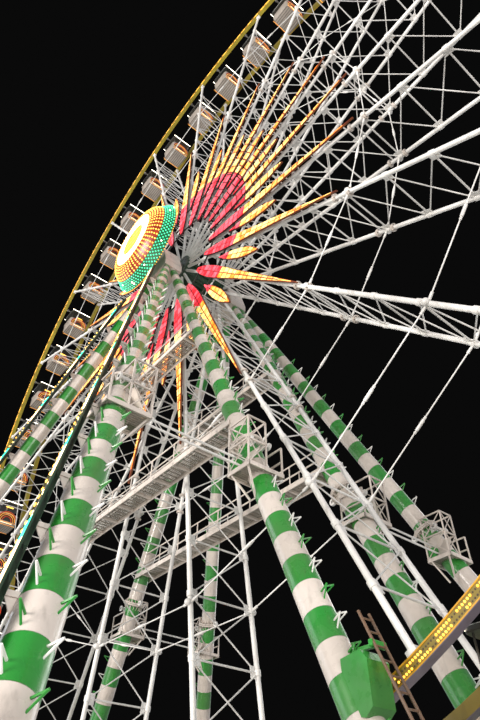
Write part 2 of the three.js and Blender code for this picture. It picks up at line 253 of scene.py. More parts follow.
class StageSettings(bpy.types.PropertyGroup):
    camera: several("Camera", "Place of the camera", (9.7082, -6.2306, 2.6094), unit="LENGTH")
    right: several("Camera right", "Direction to the right of the picture", (0.63217, 0.77482, 0.00402))
    forward: several("Camera forward", "Direction of view", (-0.57292, 0.46394, 0.67566))
    lens: number("Lens", "Focal length in millimetres", 28.764)
    floor: length("Floor radius", "Radius of the pale floor", 260.0)
    power: number("Light power", "Power of the key light in watts", 12000.0)
    ambient: number("Ambient", "Strength of the soft light all round", 0.38)
    backdrop: number("Backdrop", "Brightness of the plain backdrop", 0.003)
    red_glow: number("Red glow", "Strength of the red bricks", 1.25)
    gold_glow: number("Gold glow", "Strength of the gold bricks", 1.6)
    bulb_glow: number("Bulb glow", "Strength of the rim bulbs", 1.6)


class FerrisWheelSettings(bpy.types.PropertyGroup):
    wheel: bpy.props.PointerProperty(type=WheelSizes)
    rays: bpy.props.PointerProperty(type=RaySizes)
    cabin: bpy.props.PointerProperty(type=CabinSizes)
    leg: bpy.props.PointerProperty(type=LegSizes)
    emblem: bpy.props.PointerProperty(type=EmblemSizes)
    board: bpy.props.PointerProperty(type=BoardSizes)
    base: bpy.props.PointerProperty(type=BaseSizes)
    paint: bpy.props.PointerProperty(type=PaintColours)
    stage: bpy.props.PointerProperty(type=StageSettings)


def settings():
    return bpy.context.scene.ferris_wheel


# Solid parts: each gives its points and faces about its own origin
def turned(profile, sides, loop=False):
    """A solid turned about Z from (radius, height) pairs; a loop joins its last pair to its first"""
    points = []
    rings = []
    for radius, height in profile:
        if radius < 1e-6:
            rings.append([len(points)])
            points.append((0.0, 0.0, height))
            continue
        rings.append(list(range(len(points), len(points) + sides)))
        for i in range(sides):
            angle = FULL_TURN * i / sides
            points.append((radius * math.cos(angle), radius * math.sin(angle), height))
    faces = []
    pairs = list(zip(rings, rings[1:]))
    if loop:
        pairs.append((rings[-1], rings[0]))
    for low, high in pairs:
        for i in range(sides):
            j = (i + 1) % sides
            if len(low) > 1 and len(high) > 1:
                faces.append((low[i], low[j], high[j], high[i]))
            elif len(high) > 1:
                faces.append((low[0], high[j], high[i]))
            elif len(low) > 1:
                faces.append((low[i], low[j], high[0]))
    if not loop:
        faces.extend(tuple(ring) for ring in (rings[0], rings[-1]) if len(ring) > 1)
    return points, faces


def drum(radius, low, high, sides, chamfer=0.0):
    """A short round bar about Z with cut edges"""
    if not chamfer:
        return turned([(radius, low), (radius, high)], sides)
    inner = radius - chamfer
    return turned([(inner, low), (radius, low + chamfer), (radius, high - chamfer), (inner, high)], sides)


def drawn(outline, low, high):
    """A plate drawn up Z from an outline of (x, y) pairs"""
    size = len(outline)
    points = [(x, y, z) for z in (low, high) for x, y in outline]
    faces = [tuple(range(size)), tuple(range(size, 2 * size))]
    faces += [(i, (i + 1) % size, size + (i + 1) % size, size + i) for i in range(size)]
    return points, faces


def block(size, cut=0.0):
    """A box about the origin with its edges cut off"""
    half = [value / 2 for value in size]
    cut = min(cut, 0.3 * min(half))
    corners = list(itertools.product((-1, 1), repeat=3))
    if cut <= 0:
        points = [tuple(c * h for c, h in zip(corner, half)) for corner in corners]
        return points, [(0, 1, 3, 2), (4, 6, 7, 5), (0, 4, 5, 1), (2, 3, 7, 6), (0, 2, 6, 4), (1, 5, 7, 3)]
    points = []
    index = {}
    for corner, flat in itertools.product(corners, range(3)):
        index[corner, flat] = len(points)
        points.append(tuple(
            c * (h if axis == flat else h - cut) for axis, (c, h) in enumerate(zip(corner, half))))
    faces = [tuple(index[corner, flat] for flat in range(3)) for corner in corners]
    for flat in range(3):
        first, second = (axis for axis in range(3) if axis != flat)

        def end(sign, a, b):
            corner = [sign] * 3
            corner[first], corner[second] = a, b
            return tuple(corner)

        for sign in (-1, 1):
            square = ((-1, -1), (1, -1), (1, 1), (-1, 1))
            faces.append(tuple(index[end(sign, a, b), flat] for a, b in square))
        for a, b in itertools.product((-1, 1), repeat=2):
            low, high = end(-1, a, b), end(1, a, b)
            faces.append((index[low, first], index[high, first], index[high, second], index[low, second]))
    return points, faces


def at(x, y, z):
    return Matrix.Translation((x, y, z))


def spin(angle, axis):
    return Matrix.Rotation(angle, 4, axis)


def towards(start, end, up=ALONG_Z):
    """A matrix that puts the origin at start and Z towards end, with Y as near to up as it goes"""
    start = Vector(start)
    axis = (Vector(end) - start).normalized()
    side = Vector(up).cross(axis)
    if side.length < 1e-6:
        side = ALONG_X.cross(axis)
        if side.length < 1e-6:
            side = ALONG_Y.cross(axis)
    side.normalize()
    top = axis.cross(side)
    return Matrix((
        (side.x, top.x, axis.x, start.x), (side.y, top.y, axis.y, start.y),
        (side.z, top.z, axis.z, start.z), (0, 0, 0, 1)))


def facing(angle=0.0):
    """The plane of the wheel from the front: X right, Y up, Z to the viewer, turned by an angle"""
    plane = Matrix(((1, 0, 0, 0), (0, 0, -1, 0), (0, 1, 0, HUB_HEIGHT), (0, 0, 0, 1)))
    return plane @ spin(angle, "Z")


def faced(side):
    """The plane of the wheel seen from the front for side -1 and from behind for side 1"""
    return facing() if side < 0 else facing() @ spin(math.pi, "Y")


def turns(matrix, number, offset=0.0):
    """A matrix turned about its own Z axis to each of a number of equal steps"""
    for k in range(number):
        yield matrix @ spin(FULL_TURN * (k + offset) / number, "Z")


def middles(low, high, number):
    """The middles of a number of equal parts from low to high"""
    return [low + (high - low) * (k + 0.5) / number for k in range(number)]


def spoke_angle(index):
    return math.pi / 2 + index * FULL_TURN / settings().wheel.spokes


def on_wheel(radius, angle, y):
    return Vector((radius * math.cos(angle), y, HUB_HEIGHT + radius * math.sin(angle)))


def put(mesh, name, kind, values):
    """Stores one value for each point of a mesh"""
    layer = mesh.attributes.new(name, kind, "POINT")
    if kind == "FLOAT_VECTOR":
        layer.data.foreach_set("vector", [number for value in values for number in value])
    else:
        layer.data.foreach_set("value", list(values))


class Shape:
    """The parts of one piece. Every point keeps its own part's coordinates in the attribute place."""

    def __init__(self):
        self.points = []
        self.places = []
        self.tones = []
        self.faces = []
        self.paints = []
        self.names = []

    def add(self, part, paint, matrix=Matrix.Identity(4), tone=0.5):
        """Adds a part in the paint of a name, moved by a matrix"""
        points, faces = part
        if paint not in self.names:
            self.names.append(paint)
        first = len(self.points)
        self.points.extend(matrix @ Vector(point) for point in points)
        self.places.extend(points)
        self.tones.extend([tone] * len(points))
        self.faces.extend(tuple(first + i for i in face) for face in faces)
        self.paints.extend([self.names.index(paint)] * len(faces))

    def bar(self, start, end, width, thickness, paint, up=ALONG_Z, cut=0.0):
        """A square bar from start to end"""
        span = (Vector(end) - Vector(start)).length
        matrix = towards(start, end, up) @ at(0, 0, span / 2)
        self.add(block((width, thickness, span), cut), paint, matrix)

    def rod(self, start, end, radius, sides, paint):
        """A round bar from start to end"""
        span = (Vector(end) - Vector(start)).length
        self.add(turned([(radius, 0), (radius, span)], sides), paint, towards(start, end))

    def mesh(self, name, sharp=35):
        mesh = bpy.data.meshes.new(name)
        mesh.from_pydata(self.points, [], self.faces)
        for paint in self.names:
            mesh.materials.append(paints()[paint])
        mesh.polygons.foreach_set("material_index", self.paints)
        put(mesh, "place", "FLOAT_VECTOR", self.places)
        put(mesh, "tone", "FLOAT", self.tones)
        edit = bmesh.new()
        edit.from_mesh(mesh)
        bmesh.ops.recalc_face_normals(edit, faces=edit.faces)
        edit.to_mesh(mesh)
        edit.free()
        return smoothed(mesh, sharp)


def single(part, paint, *matrix):
    """A shape of one part"""
    shape = Shape()
    shape.add(part, paint, *matrix)
    return shape


def smoothed(mesh, sharp):
    mesh.shade_smooth()
    mesh.set_sharp_from_angle(angle=math.radians(sharp))
    return mesh


# Node trees for what repeats
def added(tree, kind, values=None, **choices):
    """A new node with its choices and its input values set"""
    node = tree.nodes.new(kind)
    for name, value in choices.items():
        setattr(node, name, value)
    for name, value in (values or {}).items():
        node.inputs[name].default_value = value
    return node


class Tree:
    """A geometry node tree with named inputs"""

    def __init__(self, name, inputs):
        self.group = bpy.data.node_groups.new(name, "GeometryNodeTree")
        face = self.group.interface
        face.new_socket("Geometry", in_out="INPUT", socket_type="NodeSocketGeometry")
        for label, kind in inputs:
            face.new_socket(label, in_out="INPUT", socket_type="NodeSocket" + kind)
        face.new_socket("Geometry", in_out="OUTPUT", socket_type="NodeSocketGeometry")
        self.inlet = self.add("NodeGroupInput")
        self.outlet = self.add("NodeGroupOutput")

    def add(self, kind, values=None, **choices):
        return added(self.group, kind, values, **choices)

    def link(self, *links):
        """Each link is a node, its output, another node and its input"""
        for source, output, target, name in links:
            self.group.links.new(source.outputs[output], target.inputs[name])

    def stored(self, name, kind):
        return self.add("GeometryNodeInputNamedAttribute", {"Name": name}, data_type=kind)

    def finish(self, source, socket):
        """Ends the tree in Realize Instances and Set Material"""
        real = self.add("GeometryNodeRealizeInstances")
        paint = self.add("GeometryNodeSetMaterial")
        self.link(
            (source, socket, real, "Geometry"), (real, "Geometry", paint, "Geometry"),
            (self.inlet, "Material", paint, "Material"), (paint, "Geometry", self.outlet, "Geometry"))
        return self.group


@functools.cache
def tube_tree():
    """Round tubes along the edges of a mesh, each as thick as its stored thickness"""
    tree = Tree("Tubes along edges", [("Sides", "Int"), ("Material", "Material")])
    line = tree.add("GeometryNodeMeshToCurve")
    ring = tree.add("GeometryNodeCurvePrimitiveCircle", {"Radius": 1.0})
    sweep = tree.add("GeometryNodeCurveToMesh", {"Fill Caps": True})
    tree.link(
        (tree.inlet, "Geometry", line, "Mesh"), (tree.inlet, "Sides", ring, "Resolution"),
        (line, "Curve", sweep, "Curve"), (ring, "Curve", sweep, "Profile Curve"),
        (tree.stored("thickness", "FLOAT"), "Attribute", sweep, "Scale"))
    return tree.finish(sweep, "Mesh")


@functools.cache
def copy_tree():
    """Copies of a shape on points, turned and sized by their stored turn and size"""
    tree = Tree("Copies on points", [("Copy", "Object"), ("Material", "Material")])
    shape = tree.add("GeometryNodeObjectInfo", {"As Instance": True})
    turn = tree.add("FunctionNodeEulerToRotation")
    place = tree.add("GeometryNodeInstanceOnPoints")
    tree.link(
        (tree.inlet, "Copy", shape, "Object"), (tree.inlet, "Geometry", place, "Points"),
        (shape, "Geometry", place, "Instance"), (turn, "Rotation", place, "Rotation"),
        (tree.stored("turn", "FLOAT_VECTOR"), "Attribute", turn, "Euler"),
        (tree.stored("size", "FLOAT_VECTOR"), "Attribute", place, "Scale"))
    return tree.finish(place, "Instances")


@functools.cache
def ring_tree():
    """Copies of a shape round a circle in the XY plane, the shape's X axis pointing out"""
    tree = Tree("Copies in a ring", [
        ("Copy", "Object"), ("Count", "Int"), ("Radius", "Float"), ("Start", "Float"),
        ("Material", "Material")])
    shape = tree.add("GeometryNodeObjectInfo", {"As Instance": True})
    circle = tree.add("GeometryNodeMeshCircle", {"Radius": 0.0})
    index = tree.add("GeometryNodeInputIndex")
    step = tree.add("ShaderNodeMath", operation="DIVIDE")
    angle = tree.add("ShaderNodeMath", {1: FULL_TURN}, operation="MULTIPLY_ADD")
    turn = tree.add("ShaderNodeCombineXYZ")
    rotation = tree.add("FunctionNodeEulerToRotation")
    out = tree.add("ShaderNodeCombineXYZ")
    move = tree.add("GeometryNodeInstanceOnPoints")
    shift = tree.add("GeometryNodeTranslateInstances", {"Local Space": True})
    tree.link(
        (tree.inlet, "Copy", shape, "Object"), (tree.inlet, "Count", circle, "Vertices"),
        (index, "Index", step, 0), (tree.inlet, "Count", step, 1),
        (step, 0, angle, 0), (tree.inlet, "Start", angle, 2),
        (angle, 0, turn, "Z"), (turn, 0, rotation, "Euler"), (tree.inlet, "Radius", out, "X"),
        (circle, "Mesh", move, "Points"), (shape, "Geometry", move, "Instance"),
        (rotation, "Rotation", move, "Rotation"), (move, "Instances", shift, "Instances"),
        (out, 0, shift, "Translation"))
    return tree.finish(shift, "Instances")


def linked(name, data):
    thing = bpy.data.objects.new(name, data)
    bpy.context.scene.collection.objects.link(thing)
    return thing


def grown(mesh, tree, values, sharp):
    """The plain mesh that a node tree makes from a mesh"""
    holder = linked(mesh.name, mesh)
    modifier = holder.modifiers.new("Nodes", "NODES")
    modifier.node_group = tree
    for name, value in values.items():
        if name == "Material":
            value = paints()[value]
        modifier[tree.interface.items_tree[name].identifier] = value
    graph = bpy.context.evaluated_depsgraph_get()
    result = bpy.data.meshes.new_from_object(
        holder.evaluated_get(graph), preserve_all_data_layers=True, depsgraph=graph)
    holder.modifiers.clear()
    bpy.data.objects.remove(holder)
    for name in ("thickness", "turn", "size"):
        if name in result.attributes:
            result.attributes.remove(result.attributes[name])
    return smoothed(result, sharp)


def tubes(name, runs, sides, paint):
    """Round tubes for a list of (start, end, radius)"""
    mesh = bpy.data.meshes.new(name)
    points = [point for start, end, _ in runs for point in (start, end)]
    mesh.from_pydata(points, [(i, i + 1) for i in range(0, len(points), 2)], [])
    put(mesh, "thickness", "FLOAT", [radius for _, _, radius in runs for _ in range(2)])
    spans = [(Vector(end) - Vector(start)).length for start, end, _ in runs]
    put(mesh, "place", "FLOAT_VECTOR", [place for span in spans for place in ((0, 0, 0), (0, 0, span))])
    return grown(mesh, tube_tree(), {"Sides": sides, "Material": paint}, 62)


def copies(name, shape, places, paint, sharp=35):
    """A shape copied to each of a list of matrices"""
    spots = bpy.data.meshes.new(name)
    parts = [matrix.decompose() for matrix in places]
    spots.from_pydata([move for move, _, _ in parts], [], [])
    put(spots, "turn", "FLOAT_VECTOR", [turn.to_euler() for _, turn, _ in parts])
    put(spots, "size", "FLOAT_VECTOR", [size for _, _, size in parts])
    source = linked(name + "_source", shape.mesh(name + "_unit", sharp))
    result = grown(spots, copy_tree(), {"Copy": source, "Material": paint}, sharp)
    bpy.data.objects.remove(source)
    return result


def ring_of(name, shape, number, radius, start, paint, matrix, sharp=35):
    """A shape copied round a circle, then placed by a matrix"""
    source = linked(name + "_source", shape.mesh(name + "_unit", sharp))
    seed = bpy.data.meshes.new(name)
    seed.from_pydata([(0, 0, 0)], [], [])
    result = grown(seed, ring_tree(), {
        "Copy": source, "Count": number, "Radius": radius, "Start": start, "Material": paint}, sharp)
    bpy.data.objects.remove(source)
    result.transform(matrix)
    return result


def piece(name, meshes, body, slot, *replaced):
    """One object at the origin from several meshes, riding on a body"""
    things = [linked(name, mesh) for mesh in meshes]
    if len(things) > 1:
        with bpy.context.temp_override(
                active_object=things[0], selected_editable_objects=things, selected_objects=things):
            bpy.ops.object.join()
    thing = things[0]
    thing.name = name
    thing.data.name = name
    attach(thing, body)
    if replaced:
        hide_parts(*replaced)
    return thing


# Finishes
class Finish:
    """A node material around one Principled shader"""

    def __init__(self, name, **values):
        self.material = bpy.data.materials.new(name)
        self.material.use_nodes = True
        self.tree = self.material.node_tree
        self.shader = self.tree.nodes["Principled BSDF"]
        for label, value in values.items():
            self.shader.inputs[label.replace("_", " ")].default_value = value

    def add(self, kind, values=None, **choices):
        return added(self.tree, kind, values, **choices)

    def link(self, output, target):
        self.tree.links.new(output, target)
        return target

    def here(self):
        """Object coordinates"""
        return self.add("ShaderNodeTexCoord").outputs["Object"]

    def place(self):
        """The part's own coordinates"""
        return self.add("ShaderNodeAttribute", attribute_name="place").outputs["Vector"]

    def axes(self):
        """The part's own coordinates one by one"""
        split = self.add("ShaderNodeSeparateXYZ")
        self.link(self.place(), split.inputs[0])
        return split.outputs

    def noise(self, scale, detail=4.0, stretch=None, source=None):
        """Noise between 0 and 1, stretched along the axes when asked"""
        vector = source or self.here()
        if stretch:
            mapping = self.add("ShaderNodeMapping", {"Scale": stretch})
            self.link(vector, mapping.inputs["Vector"])
            vector = mapping.outputs["Vector"]
        node = self.add("ShaderNodeTexNoise", {"Scale": scale, "Detail": detail})
        self.link(vector, node.inputs["Vector"])
        return node.outputs["Fac"]

    def math(self, operation, first, second=None, third=None, clamp=False):
        node = self.add("ShaderNodeMath", operation=operation, use_clamp=clamp)
        for socket, value in zip(node.inputs, (first, second, third)):
            if value is None:
                continue
            if isinstance(value, (int, float)):
                socket.default_value = value
            else:
                self.link(value, socket)
        return node.outputs[0]

    def ramp(self, value, low, high, start=0.0, end=1.0):
        """Maps low..high to start..end with smooth ends"""
        node = self.add(
            "ShaderNodeMapRange", {"From Min": low, "From Max": high, "To Min": start, "To Max": end},
            interpolation_type="SMOOTHSTEP")
        self.link(value, node.inputs["Value"])
        return node.outputs["Result"]

    def mix(self, factor, first, second):
        """A colour between two colours or sockets"""
        node = self.add("ShaderNodeMix", data_type="RGBA")
        for name, value in (("Factor_Float", factor), ("A_Color", first), ("B_Color", second)):
            socket = next(s for s in node.inputs if s.identifier == name)
            if isinstance(value, (int, float)):
                socket.default_value = value
            elif isinstance(value, (tuple, list)):
                socket.default_value = (*value[:3], 1.0)
            else:
                self.link(value, socket)
        return next(s for s in node.outputs if s.identifier == "Result_Color")

    def bump(self, height, strength, distance=0.01):
        node = self.add("ShaderNodeBump", {"Strength": strength, "Distance": distance})
        self.link(height, node.inputs["Height"])
        self.link(node.outputs["Normal"], self.shader.inputs["Normal"])

    def colour(self, output):
        self.link(output, self.shader.inputs["Base Color"])
        return self

    def rough(self, output):
        self.link(output, self.shader.inputs["Roughness"])

    def glow(self, output):
        """The same colour for the surface and its light"""
        self.colour(output)
        self.link(output, self.shader.inputs["Emission Color"])

    def lamps(self, low, high, scale, drift):
        """A glow whose tone changes from lamp to lamp and drifts a little within one"""
        own = self.add("ShaderNodeAttribute", attribute_name="tone").outputs["Fac"]
        wander = self.ramp(self.noise(scale, 2.0), 0.38, 0.62, -drift, drift)
        self.glow(self.mix(self.math("ADD", own, wander, clamp=True), tuple(low), tuple(high)))


def shade(value, factor):
    return tuple(min(1.0, part * factor) for part in value)


def worn(finish, base, dirt=(0.10, 0.08, 0.06), amount=0.5, roughness=(0.28, 0.5), grain=0.12):
    """Weathered paint over a base colour: patchy tone, streaks of dirt, uneven gloss and a fine bump"""
    tone = finish.noise(0.9, 5.0)
    streaks = finish.noise(3.0, 6.0, (3.0, 3.0, 0.35))
    mask = finish.ramp(streaks, 0.56, 0.78, 0.0, amount)
    aged = finish.mix(finish.ramp(tone, 0.3, 0.7, 0.0, 0.35), base, dirt)
    finish.colour(finish.mix(mask, aged, dirt))
    finish.rough(finish.ramp(finish.noise(7.0, 3.0), 0.3, 0.7, *roughness))
    finish.bump(finish.noise(60.0, 2.0), grain, 0.002)
    return finish.material


def painted(name, colour_value, amount=0.35, roughness=(0.28, 0.5), metallic=0.0, dirt=(0.10, 0.08, 0.06)):
    finish = Finish(name, Metallic=metallic)
    tone = finish.ramp(finish.noise(2.2), 0.35, 0.65)
    tint = finish.mix(tone, tuple(colour_value), shade(colour_value, 0.86))
    return worn(finish, tint, dirt, amount, roughness)


def banded(name):
    """Green and cream bands along the part's own Z axis, with a weld seam at each edge"""
    paint = settings().paint
    band = settings().leg.band
    finish = Finish(name, Coat_Weight=0.35, Coat_Roughness=0.12)
    bands = finish.math("DIVIDE", finish.axes()["Z"], band)
    even = finish.math("GREATER_THAN", finish.math("MODULO", bands, 2.0), 1.0)
    soft = finish.mix(finish.noise(1.6), tuple(paint.cream), shade(paint.cream, 0.82))
    deep = finish.mix(finish.noise(1.9), tuple(paint.green), shade(paint.green, 0.72))
    base = finish.mix(even, deep, soft)
    part = finish.math("FRACT", finish.math("ADD", bands, 0.5))
    edge = finish.math("ABSOLUTE", finish.math("SUBTRACT", part, 0.5))
    seam = finish.ramp(edge, 0.0, 0.018, 1.0, 0.0)
    base = finish.mix(finish.math("MULTIPLY", seam, 0.35), base, (0.03, 0.04, 0.02))
    worn(finish, base, (0.11, 0.09, 0.06), 0.3, (0.2, 0.42))
    grain = finish.math("MULTIPLY", finish.noise(45.0, 2.0), 0.12)
    finish.bump(finish.math("ADD", seam, grain), 0.5, 0.004)
    return finish.material


def glowing(name, tint, strength, other=None, scale=9.0):
    """A lit lamp face"""
    finish = Finish(name, Emission_Strength=strength, Roughness=0.3)
    finish.lamps(shade(tint, 0.62) if other is None else other, tint, scale, 0.3)
    return finish.material


# Pitch of the small lamps in a brick
LAMP_PITCH = 0.052


def lamp_grid(name, tint, low, strength):
    """A lit brick made of small square lamps with dark joints, its tone changing from brick to brick"""
    finish = Finish(name, Roughness=0.3)
    axes = finish.axes()
    lit = None
    for axis in ("X", "Y"):
        moved = finish.math("ADD", axes[axis], 10.0)
        cell = finish.math("FRACT", finish.math("DIVIDE", moved, LAMP_PITCH))
        away = finish.math("ABSOLUTE", finish.math("SUBTRACT", cell, 0.5))
        inside = finish.ramp(away, 0.34, 0.48, 1.0, 0.45)
        lit = inside if lit is None else finish.math("MULTIPLY", lit, inside)
    finish.lamps(low, tint, 6.0, 0.25)
    finish.link(finish.math("MULTIPLY", lit, strength), finish.shader.inputs["Emission Strength"])
    return finish.material


def ray_board_painted_glow(name, inner, outer, strength):
    """Red near the hub and orange further out, with a soft glow that is painted light from the bricks on a
    board that is no lamp
    """
    finish = Finish(name, Roughness=0.45, Emission_Strength=strength)
    edge = settings().rays.split * RIM_RADIUS
    zone = finish.ramp(finish.axes()["X"], edge - 0.04, edge + 0.04)
    tone = finish.mix(zone, tuple(inner), tuple(outer))
    patch = finish.ramp(finish.noise(5.0, 3.0), 0.35, 0.65, 0.0, 0.6)
    finish.glow(finish.mix(patch, tone, shade(inner, 0.8)))
    return finish.material


def plain(name, colour_value, roughness):
    """An even finish with no marks"""
    return Finish(name, Base_Color=(*colour_value, 1.0), Roughness=roughness).material


def grating(name, colour_value):
    """Galvanised bar grating"""
    finish = Finish(name, Metallic=0.6)
    tint = finish.mix(finish.noise(14.0), tuple(colour_value), shade(colour_value, 0.6))
    return worn(finish, tint, (0.12, 0.10, 0.08), 0.4, (0.35, 0.6))


@functools.cache
def paints():
    """All finishes by name, made once"""
    p = settings().paint
    s = settings().stage
    return {
        "floor": plain("pale floor", (0.60, 0.59, 0.57), 0.65),
        "white": painted("white lattice paint", p.white, 0.35, (0.3, 0.5)),
        "cream": painted("cream steel paint", p.cream, 0.45, (0.3, 0.5)),
        "green": painted("green steel paint", p.green, 0.25, (0.22, 0.42)),
        "dark_green": painted("dark green paint", p.dark_green, 0.3, (0.25, 0.45)),
        "banded": banded("banded leg paint"),
        "steel": painted("bare steel", (0.34, 0.33, 0.31), 0.4, (0.25, 0.45), 0.9),
        "grating": grating("bar grating", (0.55, 0.50, 0.42)),
        "black": painted("black board paint", (0.012, 0.018, 0.014), 0.3, (0.35, 0.6)),
        "rust": painted("brown ladder paint", (0.16, 0.085, 0.045), 0.4, (0.4, 0.65)),
        "shell": painted("cabin shell", p.shell, 0.35, (0.35, 0.55)),
        "shell_dark": painted("cabin joint", shade(p.shell, 0.25), 0.3, (0.4, 0.6)),
        "canopy": painted("cabin canopy", p.canopy, 0.3, (0.25, 0.45)),
        "bench": painted("cabin bench", (0.20, 0.09, 0.04), 0.3, (0.45, 0.65)),
        "tube": glowing("white tube lamp", (1.0, 0.95, 0.82), 5.0, (1.0, 0.88, 0.66)),
        "orange": glowing("orange lamp", (1.0, 0.33, 0.02), 3.0, (0.95, 0.12, 0.01), 14.0),
        "amber": glowing("amber lamp", (1.0, 0.62, 0.12), 3.5, (1.0, 0.34, 0.02), 14.0),
        "red": lamp_grid("red brick", p.red, (0.60, 0.008, 0.02), s.red_glow),
        "gold": lamp_grid("gold brick", p.gold, (0.95, 0.22, 0.015), s.gold_glow),
        # The ray face glows with painted light from its bricks; it is no lamp itself
        "ray_face": ray_board_painted_glow("ray face", (0.05, 0.001, 0.002), (0.20, 0.03, 0.002), 0.5),
        # The ray side is a dimmer, darker copy of the ray face: painted shade on the box walls, with a faint
        # painted red light from the bricks
        "shaded_ray_side": ray_board_painted_glow("ray side", (0.055, 0.004, 0.004), (0.16, 0.045, 0.008), 0.25),
        "rim_web": painted("rim web", p.web, 0.3, (0.4, 0.6), 0.0, (0.03, 0.02, 0.005)),
        "rim_edge": painted("rim edge", p.yellow, 0.4, (0.3, 0.5), 0.0, (0.16, 0.06, 0.01)),
        "rim_inside": painted("rim inside", (0.36, 0.29, 0.02), 0.3, (0.4, 0.6), 0.0, (0.06, 0.04, 0.01)),
        "rim_outside": painted("rim outside", (0.20, 0.17, 0.22), 0.4, (0.35, 0.6)),
        "rim_lamp": glowing("lit rim bulb", (1.0, 0.62, 0.10), s.bulb_glow, (1.0, 0.40, 0.02), 20.0),
        "socket": painted("dark socket", (0.045, 0.022, 0.006), 0.2, (0.3, 0.5)),
        "slope": glowing("orange slope", (0.30, 0.035, 0.005), 0.5, (0.12, 0.008, 0.002), 6.0),
        "green_glow": glowing("green side", (0.004, 0.09, 0.030), 0.5, (0.003, 0.06, 0.016), 4.0),
        "turquoise": glowing("turquoise lamp", p.turquoise, 2.6, (0.02, 0.45, 0.26), 10.0),
        "teal": glowing("teal lamp", (0.12, 1.0, 0.52), 1.1, (0.02, 0.50, 0.25), 10.0),
        "warm": glowing("warm white lamp", p.warm_white, 3.4, (1.0, 0.58, 0.24), 10.0),
        "slope_lamp": glowing("slope lamp", (1.0, 0.60, 0.12), 2.4, (1.0, 0.40, 0.03), 14.0),
        "fan_red": glowing("red fan", (0.85, 0.10, 0.02), 0.45, (0.40, 0.02, 0.004), 8.0),
        "fan_gold": glowing("gold fan", (1.0, 0.50, 0.08), 0.75, (0.80, 0.22, 0.015), 8.0),
        "bulb": glowing("small bulb", (1.0, 0.82, 0.50), 2.2),
        "ring": glowing("white ring lamp", (1.0, 0.96, 0.84), 4.5, (1.0, 0.90, 0.66), 1.5),
    }


# The wheel: plates inside the chords, forks from a tie's end, and a knob as (radius, height) pairs
PLATE_OFFSET = 0.085
FORK_OFFSET = 0.115
KNOB = ((0.0, 0.0), (0.058, 0.0), (0.062, 0.055), (0.052, 0.085), (0.028, 0.105), (0.0, 0.11))

# Sides of a rim, width and height of its raised edges, pitch of its bulbs and their distance from an edge
RIM_STEPS = 168
RIM_EDGE = 0.018
RIM_RECESS = 0.010
BULB_PITCH = 0.042
BULB_MARGIN = 0.052

# Thickness of a hub flange
HUB_FLANGE = 0.11


def lattice_nodes():
    w = settings().wheel
    return [(w.first_node + k * w.bay) * RIM_RADIUS for k in range(w.bays + 1)]


def tie_rings():
    """Radius, plane and sign of each ring of tie rods; the outer ones are shifted a little apart"""
    for number, tie_share in enumerate(settings().wheel.tie_shares):
        for side in (-1, 1):
            shift = 0.0055 if number else 0.0
            yield (tie_share - side * shift) * RIM_RADIUS, side


def build_spokes():
    w = settings().wheel
    outer = RIM_RADIUS - w.rim_depth
    nodes = lattice_nodes()
    splice = w.splice * RIM_RADIUS
    chords, rods, collars, plates, sleeves, forks, knobs = [], [], [], [], [], [], []
    flanges = Shape()
    for i in range(w.spokes):
        angle = spoke_angle(i)
        along = Vector((math.cos(angle), 0, math.sin(angle)))
        across = Vector((-math.sin(angle), 0, math.cos(angle)))
        for side in (-1, 1):
            y = side * PLANE
            chords.append((on_wheel(w.flange, angle, y), on_wheel(outer, angle, y), w.chord))
            for radius in nodes:
                spot = on_wheel(radius, angle, y)
                collars.append(towards(spot, spot + along, ALONG_Y))
                spot -= ALONG_Y * side * PLATE_OFFSET
                plates.append(towards(spot, spot + along, ALONG_Y))
            for radius in (splice - 0.30, splice + 0.12):
                matrix = towards(on_wheel(radius, angle, y), on_wheel(radius + 1, angle, y), ALONG_Y)
                for low, high in ((-0.026, -0.003), (0.003, 0.026)):
                    flanges.add(drum(0.088, low, high, 14, 0.004), "cream", matrix)
                for turn in turns(matrix, 6):
                    flanges.add(drum(0.010, -0.040, 0.040, 6), "steel", turn @ at(0.068, 0, 0))
        for radius in nodes + [splice - 0.19]:
            rods.append((on_wheel(radius, angle, -PLANE), on_wheel(radius, angle, PLANE), w.strut))
        for low, high in zip(nodes, nodes[1:]):
            for side in (-1, 1):
                shift = across * side * w.brace
                start = on_wheel(low, angle, side * PLANE) + shift
                rods.append((start, on_wheel(high, angle, -side * PLANE) + shift, w.brace))
    for radius, side in tie_rings():
        for i in range(w.spokes):
            start = on_wheel(radius, spoke_angle(i), side * PLANE)
            end = on_wheel(radius, spoke_angle(i + 1), side * PLANE)
            rods.append((start, end, w.tie))
            sleeves.append(towards(start.lerp(end, 0.5), end, ALONG_Y))
            for spot, other in ((start, end), (end, start)):
                forks.append(towards(spot + (other - spot).normalized() * FORK_OFFSET, other, ALONG_Y))
            knobs.append(towards(start, start + ALONG_Y * side))
    sleeve = single(drum(0.027, -0.11, 0.11, 8, 0.008), "white")
    for low, high in ((-0.165, -0.115), (0.115, 0.165)):
        sleeve.add(drum(0.021, low, high, 6), "steel")
    meshes = [tubes("chords", chords, 12, "white"), tubes("rods", rods, 7, "white")]
    for name, shape, places in (
            ("collars", single(drum(w.chord + 0.014, -0.055, 0.055, 12, 0.006), "white"), collars),
            ("plates", single(block((0.012, 0.13, 0.20)), "white"), plates),
            ("sleeves", sleeve, sleeves),
            ("forks", single(block((0.045, 0.030, 0.15), 0.006), "white"), forks),
            ("knobs", single(turned(KNOB, 12), "white"), knobs)):
        meshes.append(copies(name, shape, places, "white"))
    meshes.append(flanges.mesh("splices"))
    piece("spoke_trusses", meshes, "wheel", "white_steel", "front_spokes", "back_spokes")


